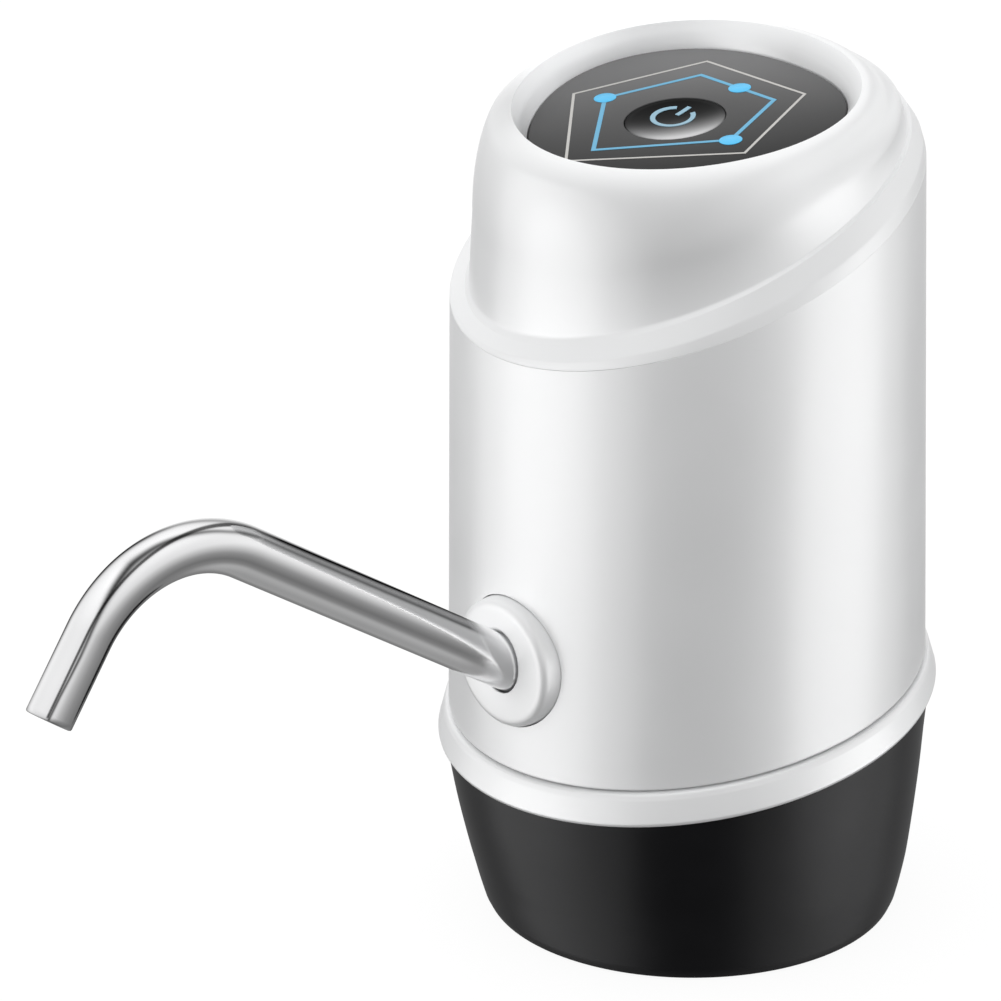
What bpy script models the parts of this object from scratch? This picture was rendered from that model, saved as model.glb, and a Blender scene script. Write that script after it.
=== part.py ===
"""Battery-driven drinking-water pump that stands on the neck of a large water bottle.

The pump's own axis is vertical. The spout points to -Y and the charging socket to +Y.
Shells are turned about the axis and then leaned: the trim ring, the shoulder and the
rim are not level, so every height h is moved by a lean that depends on h.
"""

import math

import bmesh
import bpy
from mathutils import Vector

MM = 0.001
FIT = 0.3 * MM
OVERRUN = 2.0 * MM
SINK = 0.6 * MM
MERGE = 0.001 * MM
SHARP_ANGLE = math.radians(32.0)

SHELL_SIDES = 48
SOCKET_SIDES = 32
BOSS_SIDES = 36
PUMP_SIDES = 24
SMALL_SIDES = 16
SCREW_SIDES = 10
TUBE_RESOLUTION = 6
WIRE_RESOLUTION = 2

# Bottle neck and the socket that takes it
NECK_D = 55.0 * MM
NECK_CLEARANCE = 0.8 * MM
SOCKET_WALL = 2.0 * MM
SOCKET_DEPTH = 24.0 * MM
SOCKET_FLOOR = 2.5 * MM
SOCKET_R = NECK_D / 2 + NECK_CLEARANCE
SOCKET_TOP = SOCKET_DEPTH + SOCKET_FLOOR
GASKET_WIDTH = 5.5 * MM
GASKET_THICK = 1.8 * MM
GASKET_INNER_R = SOCKET_R - FIT - GASKET_WIDTH

# Motor, pump and battery, whose widths decide how wide the body has to be
MOTOR_R = 12.2 * MM
CLAMP_WALL = 1.4 * MM
PUMP_MARGIN = 1.3 * MM
PUMP_R = MOTOR_R + PUMP_MARGIN
CELL_R = 9.1 * MM
CELL_GAP = 0.6 * MM
CELL_TO_WALL = 1.9 * MM
CELL_X = -(MOTOR_R + FIT + CLAMP_WALL + CELL_GAP + CELL_R)

# White body shell. It goes round the battery, and round the socket and the base's parts
BODY_HEIGHT = 74.0 * MM
BODY_WALL = 2.0 * MM
BODY_TAPER = 1.5 * MM
BODY_EDGE = 0.3 * MM
SOCKET_TO_BODY = 6.3 * MM
BODY_HIGH_R = max(CELL_R - CELL_X + CELL_TO_WALL + BODY_WALL, SOCKET_R + SOCKET_WALL + SOCKET_TO_BODY)
BODY_LOW_R = BODY_HIGH_R + BODY_TAPER

# Black base cup round the socket
BASE_HEIGHT = 34.0 * MM
FOOT_WIDTH = 3.7 * MM
FOOT_THICK = 2.2 * MM
BASE_TOP_STEP = 0.7 * MM
BASE_WALL = 2.0 * MM
BASE_FOOT_R = SOCKET_R + FIT + FOOT_WIDTH
BASE_TOP_R = BODY_LOW_R + BASE_TOP_STEP
BASE_LEAN_START = 8.0 * MM
BASE_HEIGHT_SHARES = (0.05, 0.147, 0.309, 0.618, 0.882)
BASE_RADIUS_SHARES = (0.123, 0.262, 0.446, 0.723, 0.923)

# White trim ring between the base cup and the body
RING_HEIGHT = 4.8 * MM
RING_LOW_STEP = 1.8 * MM
RING_TOP_STEP = 0.6 * MM
RING_LOW_R = BODY_LOW_R + RING_LOW_STEP
RING_TOP_R = BODY_LOW_R + RING_TOP_STEP
RING_EDGE = 0.45 * MM
RING_LEAN = math.tan(math.radians(9.6))
RING_SPIGOT = 2.9 * MM
RING_SPIGOT_WALL = 2.0 * MM

# Heights of the body shell
BODY_LOW = BASE_HEIGHT + RING_HEIGHT + FIT
BODY_HIGH = BODY_LOW + BODY_HEIGHT

# White top cap: shoulder, side and rim
SHOULDER_LEAN = math.tan(math.radians(22.3))
SHOULDER_RISE = 4.6 * MM
SHOULDER_EDGE = 0.4 * MM
SHOULDER_WIDTH = 2.6 * MM
CAP_SIDE_STEP = 1.7 * MM
CAP_SIDE_RISE = 8.0 * MM
LIP_WIDTH = 4.7 * MM
LIP_HEIGHT = 7.3 * MM
LIP_STEPS = 6
CAP_LOW_R = BODY_HIGH_R - SHOULDER_WIDTH
CAP_SIDE_R = CAP_LOW_R - CAP_SIDE_STEP
CREST_R = CAP_SIDE_R - LIP_WIDTH
CAP_LEAN_RISE = 9.5 * MM
RIM_LEAN_X = -math.tan(math.radians(3.15))
RIM_LEAN_Y = math.tan(math.radians(10.2))
SKIRT_HEIGHT = 4.6 * MM
SKIRT_WALL = 1.9 * MM
CAP_WALL = 1.8 * MM
SHOULDER_LOW = BODY_HIGH + FIT
CAP_LOW = SHOULDER_LOW + SHOULDER_RISE
LIP_START = CAP_LOW + CAP_SIDE_RISE
CREST_H = LIP_START + LIP_HEIGHT

# Control panel in the rim, and what hangs under it
FUNNEL_WIDTH = 2.6 * MM
PANEL_R = CREST_R - FUNNEL_WIDTH
PANEL_THICK = 1.7 * MM
PANEL_DEPTH = 6.0 * MM
LEDGE_WIDTH = 2.1 * MM
LEDGE_THICK = 2.7 * MM
FUNNEL_SHARES = ((0.15, 0.22), (0.5, 0.66), (0.78, 0.9))
BUTTON_R = 8.3 * MM
BUTTON_DISH = 1.5 * MM
BUTTON_RIM = 0.5 * MM
BUTTON_FLANGE = 1.3 * MM
BUTTON_FLANGE_R = BUTTON_R + BUTTON_FLANGE
BUTTON_FLANGE_THICK = 1.0 * MM
DISH_STEPS = 5
BOARD_MARGIN = 3.0 * MM
BOARD_R = PANEL_R - BOARD_MARGIN
BOARD_THICK = 1.6 * MM
BOARD_DROP = 7.4 * MM
POST_R = 2.2 * MM
POST_INSET = 6.0 * MM
POST_CIRCLE_R = PANEL_R - POST_INSET
POST_ANGLES = (90.0, 210.0, 330.0)
POST_HOLE_DEPTH = 3.4 * MM
SWITCH_SIDE = 6.0 * MM
SWITCH_HEIGHT = 2.5 * MM
SWITCH_WELL_DEPTH = 1.8 * MM
PLUNGER_R = 1.7 * MM
PLUNGER_HEIGHT = 1.0 * MM
LED_LONG = 3.2 * MM
LED_WIDE = 1.8 * MM
LED_HEIGHT = 1.2 * MM
LED_ANGLES = (150.0, 40.0, 280.0)
GUIDE_GAP = 0.6 * MM
GUIDE_WIDTH = 6.2 * MM
GUIDE_INNER_R = BUTTON_FLANGE_R + GUIDE_GAP
GUIDE_OUTER_R = GUIDE_INNER_R + GUIDE_WIDTH
LED_CIRCLE_R = (GUIDE_INNER_R + GUIDE_OUTER_R) / 2

# Chassis on the socket's floor
CHASSIS_GAP = 1.2 * MM
CHASSIS_R = BODY_LOW_R - BODY_WALL - FIT - RING_SPIGOT_WALL - CHASSIS_GAP
CHASSIS_THICK = 2.2 * MM
CHASSIS_LOW = SOCKET_TOP + FIT
CHASSIS_TOP = CHASSIS_LOW + CHASSIS_THICK
BASE_SCREW_ANGLES = (90.0, 210.0, 330.0)
BASE_BOSS_R = 3.4 * MM
BASE_BOSS_GAP = 1.4 * MM
BASE_BOSS_HEIGHT = 6.0 * MM
BASE_SCREW_CIRCLE_R = PUMP_R + BASE_BOSS_GAP + BASE_BOSS_R
BACK_WALL_THICK = 1.8 * MM
BACK_WALL_WIDTH = 19.0 * MM
BACK_WALL_HEIGHT = 54.0 * MM
CLAMP_HEIGHT = 3.0 * MM
CLAMP_WEB_WIDTH = 8.0 * MM

# Diaphragm pump on the axis
PUMP_WALL = 1.5 * MM
COVER_HEIGHT = 10.7 * MM
COVER_FLOOR = 2.0 * MM
CHAMBER_WALL_R = 6.2 * MM
CHAMBER_WALL = 1.3 * MM
INLET_R = 3.4 * MM
INLET_BORE_R = 1.8 * MM
INLET_LENGTH = 20.3 * MM
BARB_RISE = 0.8 * MM
BARB_R = INLET_R + BARB_RISE
BARB_PITCH = 3.4 * MM
BARB_COUNT = 3
VALVE_THICK = 1.7 * MM
VALVE_PORT_R = 1.2 * MM
VALVE_PORT_CIRCLE_R = 8.6 * MM
DIAPHRAGM_THICK = 1.2 * MM
LOBE_R = 3.3 * MM
LOBE_HEIGHT = 3.0 * MM
LOBE_CIRCLE_R = 7.2 * MM
LOBE_ANGLES = (30.0, 150.0, 270.0)
WOBBLE_R = 9.6 * MM
WOBBLE_THICK = 1.6 * MM
WOBBLE_PIN_R = 0.8 * MM
WOBBLE_PIN_LENGTH = 3.8 * MM
WOBBLE_PIN_TILT = math.radians(9.0)
PUMP_CASE_HEIGHT = 13.9 * MM
PUMP_CASE_TOP = 2.2 * MM
EAR_R = 3.1 * MM
EAR_OFFSET = 2.3 * MM
EAR_CIRCLE_R = PUMP_R + EAR_OFFSET
EAR_HEIGHT = 3.6 * MM
EAR_ANGLES = (90.0, 210.0, 330.0)

# Motor above the pump
MOTOR_LENGTH = 28.0 * MM
MOTOR_EDGE = 1.0 * MM
MOTOR_NOSE_R = 3.0 * MM
MOTOR_NOSE = 1.5 * MM
MOTOR_BORE_DEPTH = 9.8 * MM
END_BELL_STEP = 1.0 * MM
END_BELL_R = MOTOR_R - END_BELL_STEP
END_BELL_THICK = 2.2 * MM
END_BOSS_R = 3.2 * MM
END_BOSS_HEIGHT = 1.6 * MM
TERMINAL_SPREAD = 7.0 * MM
TERMINAL_WIDE = 2.4 * MM
TERMINAL_THICK = 0.6 * MM
TERMINAL_HEIGHT = 5.2 * MM
SHAFT_R = 1.0 * MM
CRANK_R = 5.0 * MM
CRANK_HEIGHT = 5.6 * MM
CRANK_WELL_R = 3.2 * MM
CRANK_WELL_DEPTH = 2.9 * MM
CRANK_SOCKET_DEPTH = 1.9 * MM
CRANK_FLAT = 1.4 * MM

# Battery and its cradle, left of the pump
CELL_LENGTH = 65.0 * MM
CELL_EDGE = 0.8 * MM
CELL_CROWN_R = 3.0 * MM
CELL_CROWN = 0.9 * MM
CRADLE_LEG = 6.4 * MM
CRADLE_PLATE = 1.5 * MM
CRADLE_WALL = 1.5 * MM
CRADLE_WALL_OUT = 4.6 * MM
CRADLE_WALL_IN = 3.2 * MM
CRADLE_PLATE_OUT = 6.0 * MM
CRADLE_PLATE_IN = 6.3 * MM
TAB_SIDE = 7.0 * MM
TAB_THICK = 0.5 * MM
LOW_TAB_REACH = 8.1 * MM
LOW_TAB_SIDE_REACH = 9.3 * MM
TOP_TAB_REACH = 9.6 * MM
LOW_TAB_TO_X = CELL_X + LOW_TAB_REACH
TOP_TAB_TO_X = CELL_X + TOP_TAB_REACH

# Charging socket at the back
CHARGE_RISE = 9.2 * MM
CHARGE_BOARD_WIDE = 16.0 * MM
CHARGE_BOARD_HIGH = 28.0 * MM
CHARGE_BOARD_THICK = 1.5 * MM
CHARGE_WIDE = 7.6 * MM
CHARGE_HIGH = 2.8 * MM
CHARGE_DEEP = 5.7 * MM
CHARGE_SHEET = 0.4 * MM
CHARGE_MOUTH_DEPTH = 4.6 * MM
CHARGE_TONGUE_WIDE = 4.0 * MM
CHARGE_TONGUE_THICK = 0.6 * MM
CHARGE_SLOT_MARGIN = 0.5 * MM
CHARGE_SCREW_RISE = 11.0 * MM
CHARGE_INSET = 0.1 * MM
RING_BACK_TOP = BODY_LOW - FIT + RING_SPIGOT + RING_LEAN * (BODY_LOW_R - BODY_WALL - FIT)
CHARGE_H = RING_BACK_TOP + CHARGE_RISE
CHARGE_STACK = BACK_WALL_THICK + CHARGE_BOARD_THICK + 2 * FIT + CHARGE_DEEP
BACK_WALL_Y = BODY_HIGH_R - CHARGE_INSET - CHARGE_STACK

# Outlet boss, seal, hose and spout, all on the line that the spout plugs in along
OUTLET_TILT = math.radians(32.6)
BOSS_STANDOFF = 1.5 * MM
BOSS_FACE_Y = -(BODY_LOW_R + BOSS_STANDOFF)
BOSS_DROP = 0.6 * MM
BOSS_R = 10.4 * MM
BOSS_FACE_R = 10.1 * MM
BOSS_ROUND = 2.6 * MM
BOSS_ROUND_DEEP = 1.9 * MM
BOSS_TAPER = 3.4 * MM
BOSS_DEPTH = 10.8 * MM
SLEEVE_WALL = 1.0 * MM
SLEEVE_FROM = -12.0 * MM
SLEEVE_TO = -20.0 * MM
BOSS_MOUTH_DEPTH = 6.3 * MM
TUBE_ROOT_R = 4.0 * MM
TUBE_TIP_R = 3.45 * MM
TUBE_WALL = 0.55 * MM
TUBE_INSERT = 17.0 * MM
TUBE_RUN = 55.9 * MM
TUBE_BEND_R = 20.1 * MM
TUBE_BEND_ANGLE = math.radians(87.0)
TUBE_END_RUN = 12.8 * MM
TUBE_BEND_STEPS = 12
SEAL_WALL = 1.1 * MM
SLEEVE_R = TUBE_ROOT_R + SEAL_WALL + 2 * FIT + SLEEVE_WALL
SEAL_LENGTH = 7.7 * MM
HOSE_LENGTH = 10.2 * MM
PORT_RISE = 4.86 * MM
PORT_SINK = 0.35 * MM
PORT_LENGTH = 12.0 * MM
PORT_REACH = -BOSS_FACE_Y - PUMP_R + PORT_SINK
PORT_TO = -PORT_REACH / math.cos(OUTLET_TILT)
OUTLET_H = CHASSIS_TOP + FIT + PORT_RISE + PORT_REACH * math.tan(OUTLET_TILT)
PORT_BORE_R = 2.8 * MM
MOUTH_GAP = 0.4 * MM

# Screws
BASE_SCREW_R = 1.4 * MM
BASE_SCREW_HEAD_R = 2.8 * MM
BASE_SCREW_HEAD = 1.4 * MM
BASE_SCREW_LENGTH = 9.0 * MM
PUMP_SCREW_R = 1.0 * MM
PUMP_SCREW_HEAD_R = 1.9 * MM
PUMP_SCREW_HEAD = 1.4 * MM
PUMP_SCREW_LENGTH = 10.2 * MM
SMALL_SCREW_R = 0.8 * MM
SMALL_SCREW_HEAD_R = 1.7 * MM
SMALL_SCREW_HEAD = 1.1 * MM
BOARD_SCREW_LENGTH = 4.6 * MM
CHARGE_SCREW_LENGTH = 3.2 * MM
HEAD_CHAMFER = 0.3 * MM

# Wires from the motor, the battery and the charging board up to the circuit board
WIRE_R = 0.7 * MM
WIRE_STEPS = 8
WIRE_RISE_OVER_WALL = 4.0 * MM
WIRE_SPREAD = 5.0 * MM
WIRE_BOARD_X = -8.0 * MM
WIRE_BOARD_Y = 11.0 * MM

COLOURS = {
    "white_plastic": ((0.86, 0.87, 0.88), 0.28, 0.0),
    "black_plastic": ((0.035, 0.035, 0.038), 0.22, 0.0),
    "panel_plastic": ((0.10, 0.10, 0.105), 0.30, 0.0),
    "button_plastic": ((0.045, 0.042, 0.045), 0.25, 0.0),
    "frame_plastic": ((0.55, 0.57, 0.60), 0.45, 0.0),
    "steel": ((0.62, 0.62, 0.63), 0.16, 1.0),
    "motor_steel": ((0.50, 0.50, 0.52), 0.35, 1.0),
    "silicone": ((0.78, 0.79, 0.78), 0.50, 0.0),
    "rubber": ((0.05, 0.05, 0.05), 0.70, 0.0),
    "circuit_green": ((0.02, 0.16, 0.07), 0.40, 0.0),
    "cell_wrap": ((0.03, 0.16, 0.48), 0.35, 0.0),
    "contact_metal": ((0.70, 0.66, 0.58), 0.30, 1.0),
    "diffuser": ((0.80, 0.85, 0.90), 0.35, 0.0),
    "led_resin": ((0.55, 0.75, 0.95), 0.25, 0.0),
    "red_wire": ((0.55, 0.03, 0.03), 0.45, 0.0),
    "black_wire": ((0.02, 0.02, 0.02), 0.45, 0.0),
}


def clear_scene():
    for obj in list(bpy.data.objects):
        bpy.data.objects.remove(obj, do_unlink=True)


def new_collection(name):
    collection = bpy.data.collections.new(name)
    bpy.context.scene.collection.children.link(collection)
    return collection


def new_material(name):
    colour, roughness, metallic = COLOURS[name]
    material = bpy.data.materials.new(name)
    material.use_nodes = True
    shader = material.node_tree.nodes["Principled BSDF"]
    shader.inputs["Base Color"].default_value = (*colour, 1.0)
    shader.inputs["Roughness"].default_value = roughness
    shader.inputs["Metallic"].default_value = metallic
    return material


clear_scene()
PARTS = new_collection("bottle_pump")
CUTTERS = new_collection("cutters")
MATERIALS = {name: new_material(name) for name in COLOURS}


def lean_at(height):
    """Slope (dz/dx, dz/dy) that a level circle at this height takes in the leaned shells."""
    keys = (
        (BASE_LEAN_START, 0.0, 0.0),
        (BASE_HEIGHT, 0.0, RING_LEAN),
        (BODY_LOW, 0.0, RING_LEAN),
        (BODY_HIGH, 0.0, SHOULDER_LEAN),
        (CAP_LOW, 0.0, SHOULDER_LEAN),
        (CAP_LOW + CAP_LEAN_RISE, RIM_LEAN_X, RIM_LEAN_Y),
    )
    if height <= keys[0][0]:
        return keys[0][1:]
    for low, high in zip(keys, keys[1:]):
        if height <= high[0]:
            share = (height - low[0]) / (high[0] - low[0])
            return tuple(a + share * (b - a) for a, b in zip(low[1:], high[1:]))
    return keys[-1][1:]


def lean_mesh(mesh):
    for vertex in mesh.vertices:
        slope_x, slope_y = lean_at(vertex.co.z)
        vertex.co.z += slope_x * vertex.co.x + slope_y * vertex.co.y


def add_empty(name, parent=None, location=(0, 0, 0), rotation=(0, 0, 0)):
    empty = bpy.data.objects.new(name, None)
    PARTS.objects.link(empty)
    empty.parent = parent
    empty.location = location
    empty.rotation_euler = rotation
    return empty


def add_object(name, mesh, material, parent, location=(0, 0, 0), rotation=(0, 0, 0)):
    """A part if it has a material, and otherwise a cutter or a shape to join."""
    obj = bpy.data.objects.new(name, mesh)
    obj.parent = parent
    obj.location = location
    obj.rotation_euler = rotation
    mesh.shade_smooth()
    mesh.set_sharp_from_angle(angle=SHARP_ANGLE)
    if material:
        PARTS.objects.link(obj)
        mesh.materials.clear()
        mesh.materials.append(MATERIALS[material])
    else:
        CUTTERS.objects.link(obj)
        obj.hide_render = True
        obj.display_type = "WIRE"
    return obj


def mesh_from(bm, name):
    bmesh.ops.recalc_face_normals(bm, faces=bm.faces)
    mesh = bpy.data.meshes.new(name)
    bm.to_mesh(mesh)
    bm.free()
    return mesh


def evaluated_mesh(obj):
    bpy.context.view_layer.update()
    depsgraph = bpy.context.evaluated_depsgraph_get()
    return bpy.data.meshes.new_from_object(obj.evaluated_get(depsgraph))


def turned_mesh(name, outline, sides, leaned):
    """Turn an outline of (radius, height) about Z. It is a loop unless it ends on the axis."""
    on_axis = outline[0][0] == 0 and outline[-1][0] == 0
    profile = bpy.data.meshes.new(name + "_profile")
    edges = [(i, i + 1) for i in range(len(outline) - 1)]
    if not on_axis:
        edges.append((len(outline) - 1, 0))
    profile.from_pydata([(r, 0, h) for r, h in outline], edges, [])
    holder = bpy.data.objects.new(name + "_profile", profile)
    CUTTERS.objects.link(holder)
    screw = holder.modifiers.new("turn", "SCREW")
    screw.steps = sides
    screw.render_steps = sides
    screw.use_merge_vertices = True
    screw.merge_threshold = MERGE
    bm = bmesh.new()
    mesh = evaluated_mesh(holder)
    bm.from_mesh(mesh)
    bpy.data.objects.remove(holder, do_unlink=True)
    bmesh.ops.remove_doubles(bm, verts=bm.verts, dist=MERGE)
    mesh = mesh_from(bm, name)
    if leaned:
        lean_mesh(mesh)
    return mesh


def turned(name, outline, sides, material, parent, leaned=False, location=(0, 0, 0), rotation=(0, 0, 0)):
    mesh = turned_mesh(name, outline, sides, leaned)
    return add_object(name, mesh, material, parent, location, rotation)


def rod(name, radius, low, high, material, parent, sides=SMALL_SIDES, location=(0, 0, 0), rotation=(0, 0, 0)):
    bm = bmesh.new()
    bmesh.ops.create_cone(
        bm, cap_ends=True, segments=sides, radius1=radius, radius2=radius, depth=high - low
    )
    bmesh.ops.translate(bm, verts=bm.verts, vec=(0, 0, (low + high) / 2))
    return add_object(name, mesh_from(bm, name), material, parent, location, rotation)


def block(name, low, high, material, parent, location=(0, 0, 0), rotation=(0, 0, 0)):
    """A box between two corners."""
    low, high = Vector(low), Vector(high)
    bm = bmesh.new()
    bmesh.ops.create_cube(bm, size=1.0)
    bmesh.ops.scale(bm, verts=bm.verts, vec=high - low)
    bmesh.ops.translate(bm, verts=bm.verts, vec=(low + high) / 2)
    return add_object(name, mesh_from(bm, name), material, parent, location, rotation)


def boolean(obj, tool, operation):
    modifier = obj.modifiers.new(tool.name, "BOOLEAN")
    modifier.operation = operation
    modifier.solver = "EXACT"
    modifier.object = tool


def cut(obj, tool):
    boolean(obj, tool, "DIFFERENCE")


def join(obj, tool):
    boolean(obj, tool, "UNION")


def around(radius, degrees, height=0.0):
    angle = math.radians(degrees)
    return Vector((radius * math.cos(angle), radius * math.sin(angle), height))


def screw(name, shank_r, head_r, head, length, parent, location, rotation=(0, 0, 0)):
    """A screw whose head stands above its origin and whose shank hangs below it."""
    outline = (
        (0, head),
        (head_r - HEAD_CHAMFER, head),
        (head_r, head - HEAD_CHAMFER),
        (head_r, 0),
        (shank_r, 0),
        (shank_r, -length),
        (0, -length),
    )
    return turned(name, outline, SCREW_SIDES, "motor_steel", parent, location=location, rotation=rotation)


def curve_mesh(name, points, radii, resolution):
    """A round bar along a path, with welded caps."""
    curve = bpy.data.curves.new(name, "CURVE")
    curve.dimensions = "3D"
    curve.bevel_depth = 1.0
    curve.bevel_resolution = resolution
    curve.use_fill_caps = True
    spline = curve.splines.new("POLY")
    spline.points.add(len(points) - 1)
    for slot, point, radius in zip(spline.points, points, radii):
        slot.co = (*point, 1.0)
        slot.radius = radius
    holder = bpy.data.objects.new(name + "_curve", curve)
    CUTTERS.objects.link(holder)
    mesh = evaluated_mesh(holder)
    bpy.data.objects.remove(holder, do_unlink=True)
    bm = bmesh.new()
    bm.from_mesh(mesh)
    bmesh.ops.remove_doubles(bm, verts=bm.verts, dist=MERGE)
    return mesh_from(bm, name)


def spout_path(extra=0.0):
    """Centre line of the spout in the outlet's frame, where +Z leads out of the boss."""
    points = [Vector((0, 0, -TUBE_INSERT - extra)), Vector((0, 0, 0)), Vector((0, 0, TUBE_RUN / 2))]
    for step in range(TUBE_BEND_STEPS + 1):
        angle = TUBE_BEND_ANGLE * step / TUBE_BEND_STEPS
        down = TUBE_BEND_R * (1 - math.cos(angle))
        points.append(Vector((0, -down, TUBE_RUN + TUBE_BEND_R * math.sin(angle))))
    heading = Vector((0, -math.sin(TUBE_BEND_ANGLE), math.cos(TUBE_BEND_ANGLE)))
    points.append(points[-1] + heading * (TUBE_END_RUN + extra))
    return points


def spout_radii(wall):
    """The tube draws down from its root to its tip round the bend."""
    root, tip = TUBE_ROOT_R - wall, TUBE_TIP_R - wall
    bend = [root + (tip - root) * step / TUBE_BEND_STEPS for step in range(TUBE_BEND_STEPS + 1)]
    return [root, root, root] + bend + [tip]


def spout_reach():
    """How far the spout's tip stands from the pump's axis."""
    tilt = math.pi / 2 - OUTLET_TILT
    reach = 0.0
    for point, radius in zip(spout_path(), spout_radii(0)):
        along = -BOSS_FACE_Y - point.y * math.cos(tilt) + point.z * math.sin(tilt)
        reach = max(reach, along + radius * abs(math.sin(OUTLET_TILT - TUBE_BEND_ANGLE)))
    return reach


AXIS_Y = (spout_reach() - RING_LOW_R) / 2
AXIS = add_empty("pump_axis", location=(0, AXIS_Y, 0))
OUTLET = add_empty(
    "outlet_line", AXIS, location=(0, BOSS_FACE_Y, OUTLET_H), rotation=(math.pi / 2 - OUTLET_TILT, 0, 0)
)
PANEL_SEAT_H = CREST_H - PANEL_DEPTH
PANEL_NORMAL = Vector((-RIM_LEAN_X, -RIM_LEAN_Y, 1)).normalized()
PANEL_H = PANEL_SEAT_H + (PANEL_THICK + FIT) / PANEL_NORMAL.z
PANEL = add_empty(
    "panel_plane",
    AXIS,
    location=(0, 0, PANEL_H),
    rotation=PANEL_NORMAL.to_track_quat("Z", "Y").to_euler(),
)


def body_radius(height):
    share = (height - BODY_LOW) / BODY_HEIGHT
    return BODY_LOW_R + (BODY_HIGH_R - BODY_LOW_R) * share


def base_radius(share):
    return BASE_FOOT_R + (BASE_TOP_R - BASE_FOOT_R) * share


def make_base_cup():
    outer = [(BASE_FOOT_R, 0)]
    for height_share, radius_share in zip(BASE_HEIGHT_SHARES, BASE_RADIUS_SHARES):
        outer.append((base_radius(radius_share), BASE_HEIGHT * height_share))
    top = BASE_HEIGHT - FIT
    outer.append((BASE_TOP_R, top))
    inner = [(r - BASE_WALL, h) for r, h in outer[2:]]
    foot_inner = SOCKET_R + FIT
    inner = [(foot_inner, 0), (foot_inner, FOOT_THICK), (outer[1][0] - BASE_WALL, FOOT_THICK)] + inner
    outline = list(reversed(outer)) + inner
    return turned("base_cup", outline, SHELL_SIDES, "black_plastic", AXIS, leaned=True)


def make_neck_socket():
    low, outer = FOOT_THICK + FIT, SOCKET_R + SOCKET_WALL
    hole = BARB_R + FIT
    outline = (
        (outer, SOCKET_TOP),
        (outer, low),
        (SOCKET_R, low),
        (SOCKET_R, SOCKET_DEPTH),
        (hole, SOCKET_DEPTH),
        (hole, SOCKET_TOP),
    )
    socket = turned("neck_socket", outline, SOCKET_SIDES, "black_plastic", AXIS)
    for index, angle in enumerate(BASE_SCREW_ANGLES):
        place = around(BASE_SCREW_CIRCLE_R, angle)
        hole_cutter = rod(
            f"socket_hole_{index + 1}", BASE_SCREW_R + FIT, SOCKET_DEPTH - OVERRUN, SOCKET_TOP + OVERRUN,
            None, AXIS, sides=SCREW_SIDES, location=place,
        )
        cut(socket, hole_cutter)
    return socket


def make_neck_gasket():
    top = SOCKET_DEPTH - FIT
    outer = SOCKET_R - FIT
    outline = (
        (outer, top),
        (outer, top - GASKET_THICK),
        (GASKET_INNER_R, top - GASKET_THICK),
        (GASKET_INNER_R, top),
    )
    return turned("neck_gasket", outline, SOCKET_SIDES, "silicone", AXIS)


def make_base_ring():
    low, top = BASE_HEIGHT, BASE_HEIGHT + RING_HEIGHT
    up_outer = BODY_LOW_R - BODY_WALL - FIT
    down_outer = base_radius(BASE_RADIUS_SHARES[-1]) - BASE_WALL - FIT
    inner = up_outer - RING_SPIGOT_WALL
    outline = (
        (up_outer, top + RING_SPIGOT),
        (up_outer, top),
        (RING_TOP_R - RING_EDGE, top),
        (RING_TOP_R, top - RING_EDGE),
        (RING_LOW_R - RING_EDGE / 3, low + 2 * RING_EDGE),
        (RING_LOW_R, low + RING_EDGE),
        (RING_LOW_R - RING_EDGE, low),
        (down_outer, low),
        (down_outer, low - RING_SPIGOT),
        (inner, low - RING_SPIGOT),
        (inner, top + RING_SPIGOT),
    )
    return turned("base_ring", outline, SHELL_SIDES, "white_plastic", AXIS, leaned=True)


def make_body_shell():
    outline = [
        (BODY_HIGH_R - BODY_EDGE, BODY_HIGH),
        (BODY_HIGH_R, BODY_HIGH - BODY_EDGE),
        (BODY_LOW_R, BODY_LOW + BODY_EDGE),
        (BODY_LOW_R - BODY_EDGE, BODY_LOW),
        (BODY_LOW_R - BODY_WALL, BODY_LOW),
        (BODY_HIGH_R - BODY_WALL, BODY_HIGH),
    ]
    shell = turned("body_shell", outline, SHELL_SIDES, "white_plastic", AXIS, leaned=True)
    outlet_hole = rod(
        "outlet_hole", BOSS_R + FIT, BODY_LOW_R - BODY_WALL - 2 * OVERRUN, BODY_LOW_R + OVERRUN,
        None, AXIS, sides=PUMP_SIDES, location=(0, 0, OUTLET_H - BOSS_DROP), rotation=(math.pi / 2, 0, 0),
    )
    cut(shell, outlet_hole)
    half_wide = CHARGE_WIDE / 2 + CHARGE_SLOT_MARGIN
    half_high = CHARGE_HIGH / 2 + CHARGE_SLOT_MARGIN
    slot = block(
        "charge_slot",
        (-half_wide, BODY_HIGH_R - BODY_WALL - OVERRUN, CHARGE_H - half_high),
        (half_wide, BODY_LOW_R + OVERRUN, CHARGE_H + half_high),
        None, AXIS,
    )
    cut(shell, slot)
    return shell


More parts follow.
